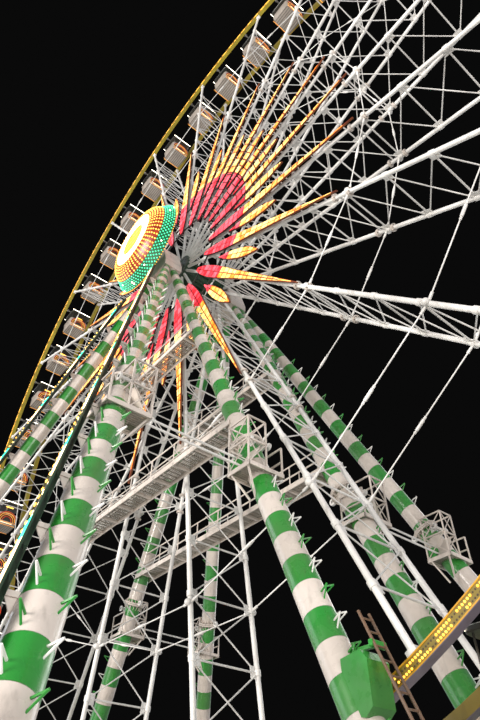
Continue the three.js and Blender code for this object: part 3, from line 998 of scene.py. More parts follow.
def build_rims():
    w = settings().wheel
    inner = RIM_RADIUS - w.rim_depth
    outer = RIM_HIGH.x
    face = PLANE + w.rim_reach
    bed = face - RIM_RECESS
    back = PLANE - w.rim_width / 2
    profiles = [
        ("rim_web", [
            (inner + 0.004, back), (inner + 0.004, bed), (outer - 0.004, bed), (outer - 0.004, back)]),
        ("rim_inside", [
            (inner, back + 0.002), (inner, face - 0.012), (inner + 0.005, face - 0.012),
            (inner + 0.005, back + 0.002)]),
        ("rim_outside", [
            (outer - 0.005, back), (outer - 0.005, face - 0.002), (outer, face - 0.006),
            (outer, back + 0.004)])]
    for low in (inner, outer - 0.004 - RIM_EDGE):
        high = low + RIM_EDGE
        profiles.append(("rim_edge", [
            (low, bed - 0.004), (low, face - 0.003), (low + 0.003, face), (high - 0.003, face),
            (high, face - 0.003), (high, bed - 0.004)]))
    for side, name in SIDES:
        flip = faced(side)
        shape = Shape()
        for paint, profile in profiles:
            shape.add(turned(profile, RIM_STEPS, loop=True), paint, flip)
        joint = single(block((0.13, 0.26, 0.012), 0.003), "rim_web", at(0, 0, 0.006))
        for x, y in itertools.product((-0.04, 0.04), (-0.10, -0.035, 0.035, 0.10)):
            joint.add(drum(0.010, 0.008, 0.020, 6), "steel", at(x, y, 0))
        socket = single(block((0.09, 0.15, w.rim_width + 0.03), 0.008), "white")
        middle = (inner + outer) / 2
        behind = flip @ at(0, 0, back) @ spin(math.pi, "X")
        plane = facing() @ at(0, 0, -side * PLANE)
        piece("rim_band_" + name, [
            shape.mesh(name + "_rim_band"),
            ring_of("joint", joint, w.spokes, middle, math.pi / 2 + math.pi / w.spokes, "rim_web", behind),
            ring_of("socket", socket, w.spokes, inner - 0.045, math.pi / 2, "white", plane),
            *rim_bulbs(flip, inner, outer, bed - 0.001),
        ], "wheel", "yellow_steel", name + "_rim")


def bulb_shape(radius, height):
    """A small lamp dome about Z"""
    return single(turned([(radius, 0.0), (radius * 0.85, 0.7 * height), (0.0, height)], 6), "bulb")


def rim_bulbs(flip, inner, outer, level):
    """Two rows of bulbs round a rim, lit in uneven groups"""
    chance = random.Random(SEED)
    lit, dark = [], []
    for radius in (inner + BULB_MARGIN, outer - BULB_MARGIN):
        left = 0
        on = False
        for turn in turns(flip, round(FULL_TURN * radius / BULB_PITCH)):
            if left == 0:
                on = not on
                left = chance.choice((6, 6, 6, 5, 2) if on else (5, 5, 4, 2))
            left -= 1
            (lit if on else dark).append(turn @ at(radius, 0, level))
    return [
        copies("lit_bulbs", bulb_shape(0.0155, 0.016), lit, "rim_lamp", 60),
        copies("dark_bulbs", bulb_shape(0.0130, 0.008), dark, "socket", 60)]


def build_hub():
    w = settings().wheel
    shape = Shape()
    half = HUB_FLANGE / 2
    for side in (-1, 1):
        low = side * PLANE - half
        high = low + 2 * half
        shape.add(turned([
            (w.shaft, low), (w.flange - 0.012, low), (w.flange, low + 0.012), (w.flange, high - 0.012),
            (w.flange - 0.012, high), (w.shaft, high)], 84, loop=True), "dark_green", facing())
        for k in range(w.spokes):
            matrix = facing(spoke_angle(k)) @ at(w.flange - 0.055, 0, side * PLANE)
            shape.add(block((0.12, 0.105, 2 * half + 0.016), 0.008), "dark_green", matrix)
        for turn in turns(facing(), 2 * w.spokes, 0.5):
            bolt = drum(0.014, -half - 0.020, half + 0.020, 6)
            shape.add(bolt, "steel", turn @ at(0.355, 0, side * PLANE))
    inner_face = PLANE - half
    wide = w.drum + 0.03
    shape.add(turned([
        (w.drum, -inner_face), (wide, -inner_face), (wide, 0.05 - inner_face), (w.drum, 0.08 - inner_face),
        (w.drum, inner_face - 0.08), (wide, inner_face - 0.05), (wide, inner_face), (w.drum, inner_face),
        (w.shaft, inner_face), (w.shaft, -inner_face)], 48, loop=True), "dark_green", facing())
    for turn in turns(facing(), 14):
        shape.add(block((0.09, 0.016, 2 * inner_face - 0.01), 0.003), "dark_green", turn @ at(wide, 0, 0))
    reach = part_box("hub_drum")[1].y
    shape.add(turned([
        (0.0, -reach), (w.shaft - 0.012, -reach), (w.shaft, 0.012 - reach), (w.shaft, reach - 0.012),
        (w.shaft - 0.012, reach), (0.0, reach)], 40), "steel", facing())
    for angle in (0, math.pi):
        turn = facing() @ spin(angle, "X")
        shape.add(drum(w.shaft + 0.035, 0.735, 0.805, 40, 0.01), "steel", turn)
    piece("hub", [shape.mesh("hub_body")], "wheel", "dark_green_steel", "hub_drum")


# Depth of a ray's face and of its bricks behind the front, a brick's margin and the width that takes none
FACE_DEPTH = 0.014
BRICK_DEPTH = 0.008
BRICK_MARGIN = 0.012
NARROW = 0.030


def width_at(outline, radius):
    for (low, first), (high, second) in zip(outline, outline[1:]):
        if low <= radius <= high:
            return first + (second - first) * (radius - low) / (high - low)
    return 0.0


def band_outline(outline, trim=0.0):
    """The closed outline of a ray from its half widths"""
    return [(r, trim - h) for r, h in outline] + [(r, h - trim) for r, h in reversed(outline)]


def ray(shape, angle, outline, chance):
    """One ray: a dark board, its face and two columns of lit bricks"""
    r = settings().rays
    base = facing(angle)
    split = r.split * RIM_RADIUS
    behind = r.front - BRICK_DEPTH
    # The box walls take the dimmer, darker board paint as painted shade with faint painted red light; the
    # face between the bricks glows with painted light
    shape.add(drawn(band_outline(outline), r.front - r.depth, r.front - FACE_DEPTH), "shaded_ray_side", base)
    shape.add(drawn(band_outline(outline, 0.005), r.front - FACE_DEPTH, behind), "ray_face", base)
    radius = outline[0][0] + 0.05
    tip = outline[-1][0] - 0.04
    while radius < tip:
        end = min(tip, radius + r.brick * (0.82 + 0.36 * chance.random()))
        if radius < split < end:
            end = split
        low, high = radius + r.gap, end - r.gap
        near = width_at(outline, low) - BRICK_MARGIN
        far = width_at(outline, high) - BRICK_MARGIN
        inside = end <= split + 1e-6
        paint = "red" if inside else "gold"
        middle = 0.011 if inside else 0.014
        for sign in (-1, 1):
            if min(near, far) < NARROW:
                continue
            trim = 0.0 if inside else 0.012 * chance.random()
            brick = [
                (low, sign * middle), (high, sign * middle), (high, sign * (far - trim)),
                (low, sign * (near - trim))]
            shape.add(drawn(brick, behind, r.front), paint, base, chance.random())
        if 0.004 < min(near, far) < NARROW and max(near, far) > 0.008:
            strip = [
                (radius + 0.008, -0.7 * near), (end - 0.008, -0.7 * far), (end - 0.008, 0.7 * far),
                (radius + 0.008, 0.7 * near)]
            shape.add(drawn(strip, behind, r.front), paint, base, chance.random())
        radius = end


def build_rays():
    r = settings().rays
    w = settings().wheel
    chance = random.Random(SEED + 1)
    shape = Shape()
    long_ray = [(part * RIM_RADIUS, half) for part, half in LONG_RAY]
    short_ray = [(part * RIM_RADIUS, half) for part, half in SHORT_RAY]
    half_pitch = math.pi / w.spokes
    behind = r.front - r.depth
    level = behind - r.bar / 2 + 0.002
    for i in range(w.spokes):
        angle = spoke_angle(i)
        ray(shape, angle, long_ray, chance)
        ray(shape, angle + half_pitch, short_ray, chance)
        for part in r.posts:
            spot = on_wheel(part * RIM_RADIUS, angle, -PLANE - 0.03)
            shape.rod(spot, spot - ALONG_Y * (behind + 0.004 - PLANE - 0.03), 0.014, 8, "white")
        for part in r.rings:
            start = facing(angle) @ Vector((part * RIM_RADIUS, 0, level))
            end = facing(angle + 2 * half_pitch) @ Vector((part * RIM_RADIUS, 0, level))
            shape.bar(start, end, r.bar, r.bar, "black", ALONG_Y)
    piece("sunburst_rays", [shape.mesh("rays")], "wheel", "lit_rays", "sunburst")


# Cabins: the arcs of a fan as shares of its radius
FAN_ARCS = (
    (0.95, 1.0, "fan_red"), (0.80, 0.86, "fan_gold"), (0.62, 0.67, "fan_gold"), (0.42, 0.47, "fan_red"))


def rounded(half, level, corner, steps=4):
    """A level ring of points round a square with round corners"""
    ring = []
    flat = half - corner
    for k, (x, y) in enumerate(((1, 1), (-1, 1), (-1, -1), (1, -1))):
        for step in range(steps + 1):
            angle = math.pi / 2 * (k + step / steps)
            ring.append((x * flat + corner * math.cos(angle), y * flat + corner * math.sin(angle), level))
    return ring


def lofted(squares, loop=False):
    """A solid through rounded squares of (half width, level, corner radius); a loop joins last to first"""
    rings = [rounded(*square) for square in squares]
    size = len(rings[0])
    points = [point for ring in rings for point in ring]
    last = (len(rings) - 1) * size
    steps = [(k * size, (k + 1) * size) for k in range(len(rings) - 1)]
    if loop:
        steps.append((last, 0))
    faces = [(a + i, a + (i + 1) % size, b + (i + 1) % size, b + i) for a, b in steps for i in range(size)]
    if not loop:
        faces += [tuple(range(size)), tuple(range(last, last + size))]
    return points, faces


def half_ring(inner, outer, steps=12):
    """The outline of the upper half of a ring, or of a disc where inner is 0"""
    angles = [math.pi * k / steps for k in range(steps + 1)]
    outline = [(outer * math.cos(angle), outer * math.sin(angle)) for angle in angles]
    if inner:
        outline += [(inner * math.cos(angle), inner * math.sin(angle)) for angle in reversed(angles)]
    return outline


def cabin_side(shape, sign):
    """The lamps of one side of a cabin: a fan of lit arcs, bands under it and a white tube above"""
    c = settings().cabin
    fan = Matrix(((0, 0, sign, sign * c.tub_upper), (1, 0, 0, 0), (0, 1, 0, -c.fan_base), (0, 0, 0, 1)))
    shape.add(drawn(half_ring(0, c.fan), -0.006, 0.008), "canopy", fan)
    for inner, outer, paint in FAN_ARCS:
        shape.add(drawn(half_ring(inner * c.fan, outer * c.fan), 0.008, 0.016), paint, fan)
    half, base = c.tub_lower, -c.fan_base
    for size, cut, paint, x, z in (
            ((0.012, 2 * c.fan, 0.014), 0.003, "fan_gold", half + 0.016, base - 0.035),
            ((0.010, 1.2 * c.fan, 0.006), 0.0, "warm", half + 0.010, base - 0.075),
            ((0.018, 1.9 * c.fan, 0.012), 0.003, "fan_gold", half - 0.009, 0.007 - c.tub_bottom)):
        shape.add(block(size, cut), paint, at(sign * x, 0, z))
    lamp = at(sign * c.tube_reach, 0, -c.tube_level) @ spin(math.pi / 2, "X")
    shape.add(drum(0.013, -c.canopy, c.canopy, 10), "tube", lamp)
    for y in (-0.36, 0.0, 0.36):
        shape.add(block((0.05, 0.014, 0.016)), "steel", at(sign * (c.canopy - 0.005), y, -c.tube_level))


def cabin_shape():
    """The axle, the canopy, the tub and the bench of one cabin, with its lamps"""
    c = settings().cabin
    shape = Shape()
    reach = PLANE - settings().wheel.rim_width / 2 - 0.002
    on_axle = spin(math.pi / 2, "X")
    shape.add(drum(0.030, -reach, reach, 14, 0.004), "steel", on_axle)
    for sign in (-1, 1):
        shape.add(drum(0.055, -0.03, 0.03, 14, 0.006), "steel", at(0, sign * (reach - 0.05), 0) @ on_axle)
        shape.add(block((0.07, 0.022, 0.18), 0.004), "steel", at(0, sign * 0.10, -0.085))
    shape.add(drum(0.050, -0.075, 0.075, 16, 0.006), "steel", on_axle)
    top, edge = -c.canopy_top, -c.canopy_edge
    corner, inside = c.corner, c.corner - c.wall
    shape.add(lofted([
        (c.canopy - 0.012, edge, corner), (c.canopy, edge + 0.012, corner),
        (c.canopy, edge + 0.055, corner), (c.canopy - 0.03, edge + 0.075, corner),
        (0.20, top, corner)]), "canopy")
    shape.add(block((0.05, 0.30, 0.022), 0.004), "amber", at(0.10, 0.08, edge - 0.008))
    low, high = -c.tub_bottom, -c.tub_top
    lower, upper = c.tub_lower, c.tub_upper
    shape.add(lofted([
        (lower - 0.008, low + 0.014, corner), (lower, low + 0.024, corner), (upper, high - 0.008, corner),
        (upper - 0.006, high, corner), (upper - c.wall, high, inside), (lower - c.wall, low + 0.04, inside),
    ]), "shell")
    shape.add(lofted([
        (upper + 0.004, high - 0.045, corner), (upper + 0.010, high - 0.035, corner),
        (upper + 0.010, high - 0.008, corner), (upper - 0.004, high + 0.004, corner),
        (upper - 0.012, high - 0.02, corner)], True), "shell")
    shape.add(block((2 * lower - 0.10, 2 * lower - 0.06, 0.012)), "shell_dark", at(0, 0, low + 0.010))
    pitch = (2 * lower - 0.08) / c.slats
    for k in range(c.slats):
        y = (k - (c.slats - 1) / 2) * pitch
        shape.add(block((2 * lower - 0.10, pitch - 0.022, 0.010), 0.003), "shell", at(0, y, low + 0.005))
    for k in range(c.ribs):
        x = (k - (c.ribs - 1) / 2) * 2 * (lower - 0.06) / c.ribs
        for sign in (-1, 1):
            foot = (x, sign * (lower + 0.001), low + 0.03)
            head = (x, sign * (upper + 0.002), high - 0.04)
            shape.bar(foot, head, 0.016, 0.020, "shell", ALONG_Y, 0.003)
    shape.add(drum(0.030, low + 0.03, top - 0.02, 12), "steel")
    post = upper - 0.055
    for x, y in itertools.product((-1, 1), repeat=2):
        foot = (x * post, y * post, high - 0.03)
        shape.bar(foot, (x * post, y * post, edge + 0.01), 0.018, 0.018, "canopy")
    seat, out, back = 0.22, lower - c.wall, 0.36
    shape.add(lofted([
        (seat, low + 0.185, inside), (seat, low + 0.222, inside), (out - 0.04, low + 0.222, inside),
        (back, high - 0.07, inside), (back + 0.03, high - 0.07, inside), (out + 0.004, low + 0.185, inside),
    ], True), "bench")
    for sign in (-1, 1):
        cabin_side(shape, sign)
    spot = at(-0.24, -0.40, high + 0.03)
    shape.add(drum(0.030, -0.03, 0.03, 10, 0.005), "shell_dark", spot)
    shape.add(drum(0.024, 0.0, 0.036, 10), "ring", spot)
    return shape


def build_cabins():
    c = settings().cabin
    unit = cabin_shape().mesh("cabin_unit")
    for number, body in enumerate(CABINS):
        angle = math.pi / 2 - (number + 0.5) * FULL_TURN / len(CABINS)
        mesh = unit.copy()
        mesh.transform(Matrix.Translation(on_wheel(c.axle_radius, angle, 0)))
        piece(body + "_gondola", [mesh], body, "cabin_shell", body)
    bpy.data.meshes.remove(unit)


# The legs: share of the nominal radius that the round tubes have, and bolts in a joint
ROUND = 0.965
JOINT_BOLTS = 16

# Where green bands start along each leg above and below its bolted joint, by side, hand and outer or inner
BAND_STARTS = {
    (-1, 1, True): (0.505, 0.505), (-1, -1, True): (0.755, 0.755), (-1, 1, False): (0.758, 0.461),
    (-1, -1, False): (0.30, 0.30), (1, 1, True): (0.477, 0.477), (1, 1, False): (0.378, 0.004),
    (1, -1, False): (0.252, 0.252), (1, -1, True): (0.683, 0.683)}


def band_shift(side, hand, spread, below):
    """How far the bands of a leg are moved along it so that a green one starts in its place"""
    band = settings().leg.band
    return (band - BAND_STARTS[side, hand, spread > 0][int(below)]) % (2 * band)


def on_leg(side, hand, spread, depth):
    leg = settings().leg
    return Vector((hand * leg.spread_x * depth, side * (leg.bearing + spread * depth), HUB_HEIGHT - depth))


def leg_radius(depth):
    leg = settings().leg
    if depth < leg.neck_depth:
        part = (depth - leg.tip_depth) / (leg.neck_depth - leg.tip_depth)
        return leg.tip + (leg.neck - leg.tip) * part
    part = (depth - leg.neck_depth) / (HUB_HEIGHT - leg.neck_depth)
    return leg.neck + (leg.foot - leg.neck) * part


def leg_line(side, hand, spread):
    """The matrix of a leg with Z down along it and Y outwards, and its length for each unit of depth"""
    leg = settings().leg
    top = on_leg(side, hand, spread, leg.tip_depth)
    foot = on_leg(side, hand, spread, HUB_HEIGHT)
    outward = Vector((hand * leg.spread_x, side * spread, 0))
    return towards(top, foot, outward), (foot - top).length / (HUB_HEIGHT - leg.tip_depth)


# Step irons: depth from the tip to the first, depth left after the last, angles, free stretch at a joint
IRON_START = 2.6
IRON_END = 1.3
IRON_ANGLES = (35, 102)
IRON_FREE = (-0.25, 0.85)


def step_irons(side, hand, spread, green):
    """Places of the step irons of one leg on bands of one colour"""
    leg = settings().leg
    line, stretch = leg_line(side, hand, spread)
    places = []
    for row, row_angle in enumerate(IRON_ANGLES):
        run = IRON_START * stretch + row * leg.iron_pitch / 2
        while run < (HUB_HEIGHT - IRON_END) * stretch:
            depth = leg.tip_depth + run / stretch
            shift = band_shift(side, hand, spread, depth > leg.flange_depth)
            on_green = ((run + shift) / leg.band) % 2 > 1
            if on_green == green and not IRON_FREE[0] < depth - leg.flange_depth < IRON_FREE[1]:
                turn = spin(math.radians(row_angle), "Z")
                places.append(line @ at(0, 0, run) @ turn @ at(leg_radius(depth) * ROUND - 0.01, 0, 0))
            run += leg.iron_pitch
    return places


def iron_shape():
    shape = Shape()
    shape.rod((0, 0, 0), (0.150, 0, 0), 0.012, 5, "white")
    shape.rod((0.142, 0, 0.004), (-0.004, 0, 0.105), 0.010, 5, "white")
    return shape


def leg_tube(name, side, hand, spread):
    """The banded tube of a leg in two lengths that meet inside the bolted joint"""
    leg = settings().leg
    line, stretch = leg_line(side, hand, spread)
    depths = [leg.tip_depth + 0.08, *(leg.neck_depth + 2 * k for k in range(7)), HUB_HEIGHT]
    joint = leg.flange_depth + 0.03
    shape = Shape()
    for below in (False, True):
        part = [d for d in depths if (d > joint) == below]
        part = [joint] + part if below else part + [joint]
        shift = band_shift(side, hand, spread, below)
        profile = [(leg_radius(d) * ROUND, (d - leg.tip_depth) * stretch + shift) for d in part]
        shape.add(turned(profile, 40), "banded", line @ at(0, 0, -shift))
    return cut_at_foot(shape.mesh(name + "_tube"))


def build_leg(name, node, side, hand, spread):
    leg = settings().leg
    line, stretch = leg_line(side, hand, spread)
    upright = spin(math.pi / 2, "X")
    details = Shape()
    run = (leg.flange_depth - leg.tip_depth) * stretch
    tube = leg_radius(leg.flange_depth) * ROUND
    for low, high in ((0.0, 0.032), (0.038, 0.07)):
        details.add(drum(leg.flange * ROUND, run + low, run + high, 40, 0.005), "cream", line)
    for turn in turns(line, JOINT_BOLTS, 0.5):
        details.add(drum(0.012, run - 0.018, run + 0.088, 6), "steel", turn @ at(tube + 0.045, 0, 0))
    upper = [(tube - 0.01, run), (leg.flange - 0.03, run), (tube - 0.01, run - 0.10)]
    lower = [(tube - 0.01, run + 0.07), (leg.flange - 0.03, run + 0.07), (tube, run + 0.17)]
    for turn in turns(line, JOINT_BOLTS):
        for wedge in (upper, lower):
            details.add(drawn(wedge, -0.005, 0.005), "cream", turn @ upright)
    foot = on_leg(side, hand, spread, HUB_HEIGHT - BEAM_TOP)
    details.add(block((0.66, 0.66, 0.03), 0.006), "dark_green", at(foot.x, foot.y, BEAM_TOP + 0.015))
    for x, y in itertools.product((-0.27, 0.27), repeat=2):
        details.add(drum(0.020, 0.0, 0.085, 6), "steel", at(foot.x + x, foot.y + y, BEAM_TOP))
    bottom = leg_radius(HUB_HEIGHT) * ROUND
    fin = [(bottom - 0.09, 0.0), (0.36, 0.0), (0.36, 0.03), (bottom - 0.06, 0.20)]
    for turn in turns(at(foot.x, foot.y, BEAM_TOP + 0.03), 4, 0.5):
        details.add(drawn(fin, -0.008, 0.008), "dark_green", turn @ upright)
    work_cage(details, side, hand, spread)
    hinge_pin(details, side, hand, spread)
    if spread:
        leg_struts(details, side, hand)
    else:
        ladder(details, side, hand)
        jack_box(details, side, hand)
    meshes = [leg_tube(name, side, hand, spread), details.mesh(name + "_details")]
    for green, paint in ((False, "white"), (True, "green")):
        meshes.append(copies("irons", iron_shape(), step_irons(side, hand, spread, green), paint, 60))
    piece(name, meshes, "frame", "banded_steel", node)


def cut_at_foot(mesh):
    """Cuts a leg level with the top of its pad and closes it"""
    edit = bmesh.new()
    edit.from_mesh(mesh)
    bmesh.ops.bisect_plane(
        edit, geom=edit.verts[:] + edit.edges[:] + edit.faces[:], plane_co=(0, 0, BEAM_TOP),
        plane_no=(0, 0, -1), clear_outer=True)
    bmesh.ops.holes_fill(edit, edges=[edge for edge in edit.edges if edge.is_boundary])
    bmesh.ops.recalc_face_normals(edit, faces=edit.faces)
    edit.to_mesh(mesh)
    edit.free()
    return mesh


def work_cage(shape, side, hand, spread):
    """A grating floor round a leg, with a cage of thin cream tube beside its joint and a rail behind"""
    centre = on_leg(side, hand, spread, settings().leg.cage_depth)
    partner = -side if spread else side
    base = at(*centre)
    low_y, high_y = sorted((-0.245 * partner, 0.445 * partner))
    half_x, tube = 0.27, 0.024
    middle, deep = (low_y + high_y) / 2, high_y - low_y
    for x in middles(-half_x, half_x, 12):
        shape.add(block((0.010, deep - 0.02, 0.028)), "grating", base @ at(x, middle, 0.015))
    for sign in (-1, 1):
        x, y = sign * (half_x - 0.01), middle + sign * (deep / 2 - 0.01)
        shape.add(block((2 * half_x, 0.020, 0.070), 0.003), "cream", base @ at(0, y, 0.0))
        shape.add(block((0.020, deep, 0.070), 0.003), "cream", base @ at(x, middle, 0.0))
    frames = (
        (0.235, 0.085 * partner, 0.435 * partner, (0.02, 0.44, 0.86), True),
        (0.255, -0.235 * partner, -0.215 * partner, (0.25, 0.50), False))
    for reach, near, far, levels, caged in frames:
        outline = ((-reach, near), (reach, near), (reach, far), (-reach, far))
        corners = [Vector((x, y, 0)) for x, y in outline]
        sides = list(zip(corners, corners[1:] + corners[:1])) if caged else [(corners[2], corners[3])]
        for level in levels:
            lift = ALONG_Z * level
            for first, second in sides:
                shape.bar(base @ (first + lift), base @ (second + lift), tube, tube, "cream")
        for corner in corners if caged else corners[2:]:
            shape.bar(base @ corner, base @ (corner + ALONG_Z * levels[-1]), tube, tube, "cream", ALONG_Y)
        if not caged:
            continue
        for low, high in zip(levels, levels[1:]):
            for first, second in sides[1:]:
                for start, end in ((first, second), (second, first)):
                    start, end = base @ (start + ALONG_Z * low), base @ (end + ALONG_Z * high)
                    shape.bar(start, end, 0.014, 0.014, "cream")
    plate = base @ at(0.06, 0.26 * partner, 0.24) @ spin(0.5 * partner, "X")
    shape.add(block((0.26, 0.012, 0.42), 0.002), "cream", plate)
    shape.add(block((0.16, 0.12, 0.20), 0.010), "green", base @ at(-0.14, 0.36 * partner, 0.13))
    for x in (-0.20, 0.20):
        start, end = Vector((x, 0.42 * partner, 0.0)), Vector((0.3 * x, 0.16 * partner, -0.40))
        shape.bar(base @ start, base @ end, 0.026, 0.026, "cream", ALONG_Y)


def hinge_pin(shape, side, hand, spread):
    """A white hinge pin with round end plates beside a bolted joint, and a lug on the other side"""
    joint = on_leg(side, hand, spread, settings().leg.flange_depth + 0.10)
    spot = joint + ALONG_X * hand * 0.27
    half = 0.20
    shape.rod(spot - ALONG_Y * half, spot + ALONG_Y * half, 0.030, 12, "white")
    for sign in (-1, 1):
        end = spot + ALONG_Y * sign * half
        shape.rod(end - ALONG_Y * sign * 0.030, end, 0.065, 16, "white")
        plate = spot + ALONG_Y * sign * 0.11
        low, high = plate - Vector((hand * 0.16, 0, 0.05)), plate + ALONG_X * hand * 0.01
        shape.bar(low, high, 0.10, 0.022, "white", ALONG_Y)
    lug = at(*(joint - ALONG_X * hand * 0.33)) @ spin(math.pi / 2, "X")
    shape.add(turned([
        (0.030, -0.028), (0.062, -0.028), (0.068, -0.020), (0.068, 0.020), (0.062, 0.028), (0.030, 0.028),
    ], 18, loop=True), "white", lug)
    start, end = joint - ALONG_X * hand * 0.27, joint - ALONG_X * hand * 0.17
    shape.bar(start, end, 0.07, 0.03, "white", ALONG_Y)


def leg_struts(shape, side, hand):
    """Two thin tubes from an outer leg to the inner leg beside it"""
    leg = settings().leg
    for depth in (leg.cage_depth - 0.26, leg.cage_depth - 0.10):
        outer = on_leg(side, hand, leg.spread_y, depth)
        shape.rod(outer, on_leg(side, hand, 0.0, depth), 0.018, 8, "white")


# A ladder in metres: top below the hub, distance from the leg, half width, rungs and depths of the clamps
LADDER_TOP = 11.65
LADDER_OFFSET = 0.60
LADDER_HALF = 0.085
LADDER_PITCH = 0.15
LADDER_CLAMPS = (12.0, 13.8, 15.6)


def ladder(shape, side, hand):
    """A brown ladder beside an inner leg, clamped to it, from the base up"""
    offset = ALONG_X * hand * LADDER_OFFSET
    half = ALONG_Y * LADDER_HALF
    foot = HUB_HEIGHT - BEAM_TOP - 0.002
    for sign in (-1, 1):
        shift = offset + half * sign
        top_end = on_leg(side, hand, 0.0, LADDER_TOP) + shift
        shape.rod(top_end, on_leg(side, hand, 0.0, foot) + shift, 0.017, 8, "rust")
    depth = LADDER_TOP + 0.08
    while depth < foot:
        spot = on_leg(side, hand, 0.0, depth) + offset
        shape.rod(spot - half, spot + half, 0.011, 6, "rust")
        depth += LADDER_PITCH
    for depth in LADDER_CLAMPS:
        spot = on_leg(side, hand, 0.0, depth)
        shape.bar(spot, spot + offset * 0.97, 0.05, 0.04, "green", ALONG_Z)
        shape.add(block((0.05, 0.24, 0.07), 0.008), "green", at(*(spot + offset * 0.96)))


# A jack box in metres: depth below the hub, distance from the leg and half width
JACK_DEPTH = 12.35
JACK_OFFSET = 0.20
JACK_HALF = 0.17


def jack_box(shape, side, hand):
    """A green steel box on the outer side of an inner leg near its foot"""
    outline = [(-0.15, -0.26), (0.12, -0.30), (0.20, -0.20), (0.20, 0.22), (0.10, 0.30), (-0.15, 0.26)]
    spot = on_leg(side, hand, 0.0, JACK_DEPTH) + ALONG_X * hand * JACK_OFFSET
    flat = Matrix(((hand, 0, 0, 0), (0, 0, 1, 0), (0, -1, 0, 0), (0, 0, 0, 1)))
    shape.add(drawn(outline, -JACK_HALF, JACK_HALF), "green", at(*spot) @ flat)


def catwalk(shape, side, depth):
    """A grating walk between two inner legs with handrails on both edges"""
    leg = settings().leg
    y = side * leg.bearing
    floor = HUB_HEIGHT - depth
    reach = leg.spread_x * depth
    half = leg.walk_width / 2
    for edge in (-1, 1):
        side_y, rail_y = y + edge * (half - 0.012), y + edge * 0.14
        shape.add(block((2 * reach, 0.024, 0.11), 0.004), "cream", at(0, side_y, floor - 0.010))
        for level, radius in ((leg.rail, 0.015), (leg.rail / 2, 0.012)):
            end = leg.spread_x * (depth - level)
            shape.rod((-end, rail_y, floor + level), (end, rail_y, floor + level), radius, 8, "cream")
        posts = max(3, round(2 * reach / 0.9))
        for k in range(posts + 1):
            x = -reach * 0.94 + 2 * reach * 0.94 * k / posts
            shape.rod((x, rail_y, floor), (x, rail_y, floor + leg.rail), 0.013, 8, "cream")
            shape.bar((x, rail_y, floor + 0.03), (x, y + edge * half, floor + 0.03), 0.03, 0.02, "cream")
    for k in range(9):
        offset = -half + 0.036 + (2 * half - 0.072) * k / 8
        shape.add(block((2 * reach, 0.010, 0.028)), "grating", at(0, y + offset, floor + 0.016))
    meshes = []
    for name, size, cut, pitch, level, paint in (
            ("cross_bars", (0.014, 2 * half - 0.03, 0.018), 0.0, 0.12, floor + 0.010, "grating"),
            ("cross_beams", (0.05, 2 * half, 0.06), 0.004, 0.62, floor - 0.03, "cream")):
        places = [at(x, y, level) for x in middles(-reach, reach, int(2 * reach / pitch))]
        meshes.append(copies(name, single(block(size, cut), paint), places, paint))
    return meshes


def build_catwalks():
    for side, name in SIDES:
        shape = Shape()
        crossed = []
        for depth in settings().leg.walk_depths:
            crossed += catwalk(shape, side, depth)
        meshes = [shape.mesh(name + "_walks")] + crossed
        piece(name + "_catwalks", meshes, "frame", "cream_steel", name + "_inner_legs")


def build_heads():
    w = settings().wheel
    for side, name in SIDES:
        node = name + "_bearing_head"
        low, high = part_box(node)
        near, far = (-high.y, -low.y) if side < 0 else (low.y, high.y)
        flip = faced(side)
        foot = low.z - HUB_HEIGHT
        bore, ring = w.shaft + 0.002, w.shaft + 0.085
        shape = Shape()
        body = head_body(high.x, foot, foot + 0.20, high.z - HUB_HEIGHT, w.shaft + 0.001, near, far)
        shape.add(body, "cream", flip)
        for start, end in ((near - 0.030, near + 0.01), (far - 0.01, far - 0.001)):
            shape.add(turned([
                (bore, start), (ring - 0.008, start), (ring, start + 0.008), (ring, end), (bore, end),
            ], 36, loop=True), "steel", flip)
        for turn in turns(flip, 12):
            shape.add(drum(0.011, near - 0.044, near - 0.02, 6), "steel", turn @ at(w.shaft + 0.055, 0, 0))
        for x in (-0.36, -0.12, 0.12, 0.36):
            for z in (near + 0.014, far - 0.014):
                shape.add(block((0.022, 0.18, 0.030), 0.003), "cream", flip @ at(x, foot + 0.10, z))
        for sign in (-1, 1):
            spot = flip @ at(sign * 0.40, foot + 0.23, (near + far) / 2)
            shape.add(block((0.05, 0.06, far - near - 0.04), 0.006), "steel", spot)
            for z in (near + 0.10, far - 0.10):
                spot = flip @ at(sign * 0.33, 0, z) @ spin(-math.pi / 2, "X")
                shape.add(drum(0.018, foot + 0.20, foot + 0.262, 6), "steel", spot)
        piece(name + "_bearing", [shape.mesh(node + "_body")], "frame", "cream_steel", node)


def head_body(half, foot, shoulder, crown, bore, near, far):
    """The pedestal of a bearing: straight sides, a round top and a round bore, as one closed solid"""
    corners = [math.atan2(level, x) for x in (-half, half) for level in (foot, shoulder)]
    steps = 64
    angles = sorted({round(a % FULL_TURN, 6) for a in corners}
                    | {round(FULL_TURN * k / steps, 6) for k in range(steps)})

    def reach(angle):
        x, y = math.cos(angle), math.sin(angle)
        if y >= -1e-9:
            return crown
        best = foot / y
        if abs(x) > 1e-9:
            best = min(best, half / abs(x))
        # the sloping shoulder runs from the round top to the upper corner
        slope_x, slope_y = half - crown, shoulder
        cross = abs(x) * slope_y - y * slope_x
        if abs(cross) > 1e-9:
            meet = (crown * slope_y) / cross
            if meet > 0:
                best = min(best, meet)
        return best

    cut = 0.012
    rings = []
    for inset, level in ((cut, near), (0.0, near + cut), (0.0, far - cut), (cut, far)):
        rings.append([(reach(a) - inset, a, level) for a in angles])
    rings += [[(bore, a, level) for a in angles] for level in (far, near)]
    size = len(angles)
    points = [(r * math.cos(a), r * math.sin(a), level) for ring in rings for r, a, level in ring]
    faces = []
    for k in range(len(rings)):
        first, second = k * size, ((k + 1) % len(rings)) * size
        for i in range(size):
            j = (i + 1) % size
            faces.append((first + i, first + j, second + j, second + i))
    return points, faces


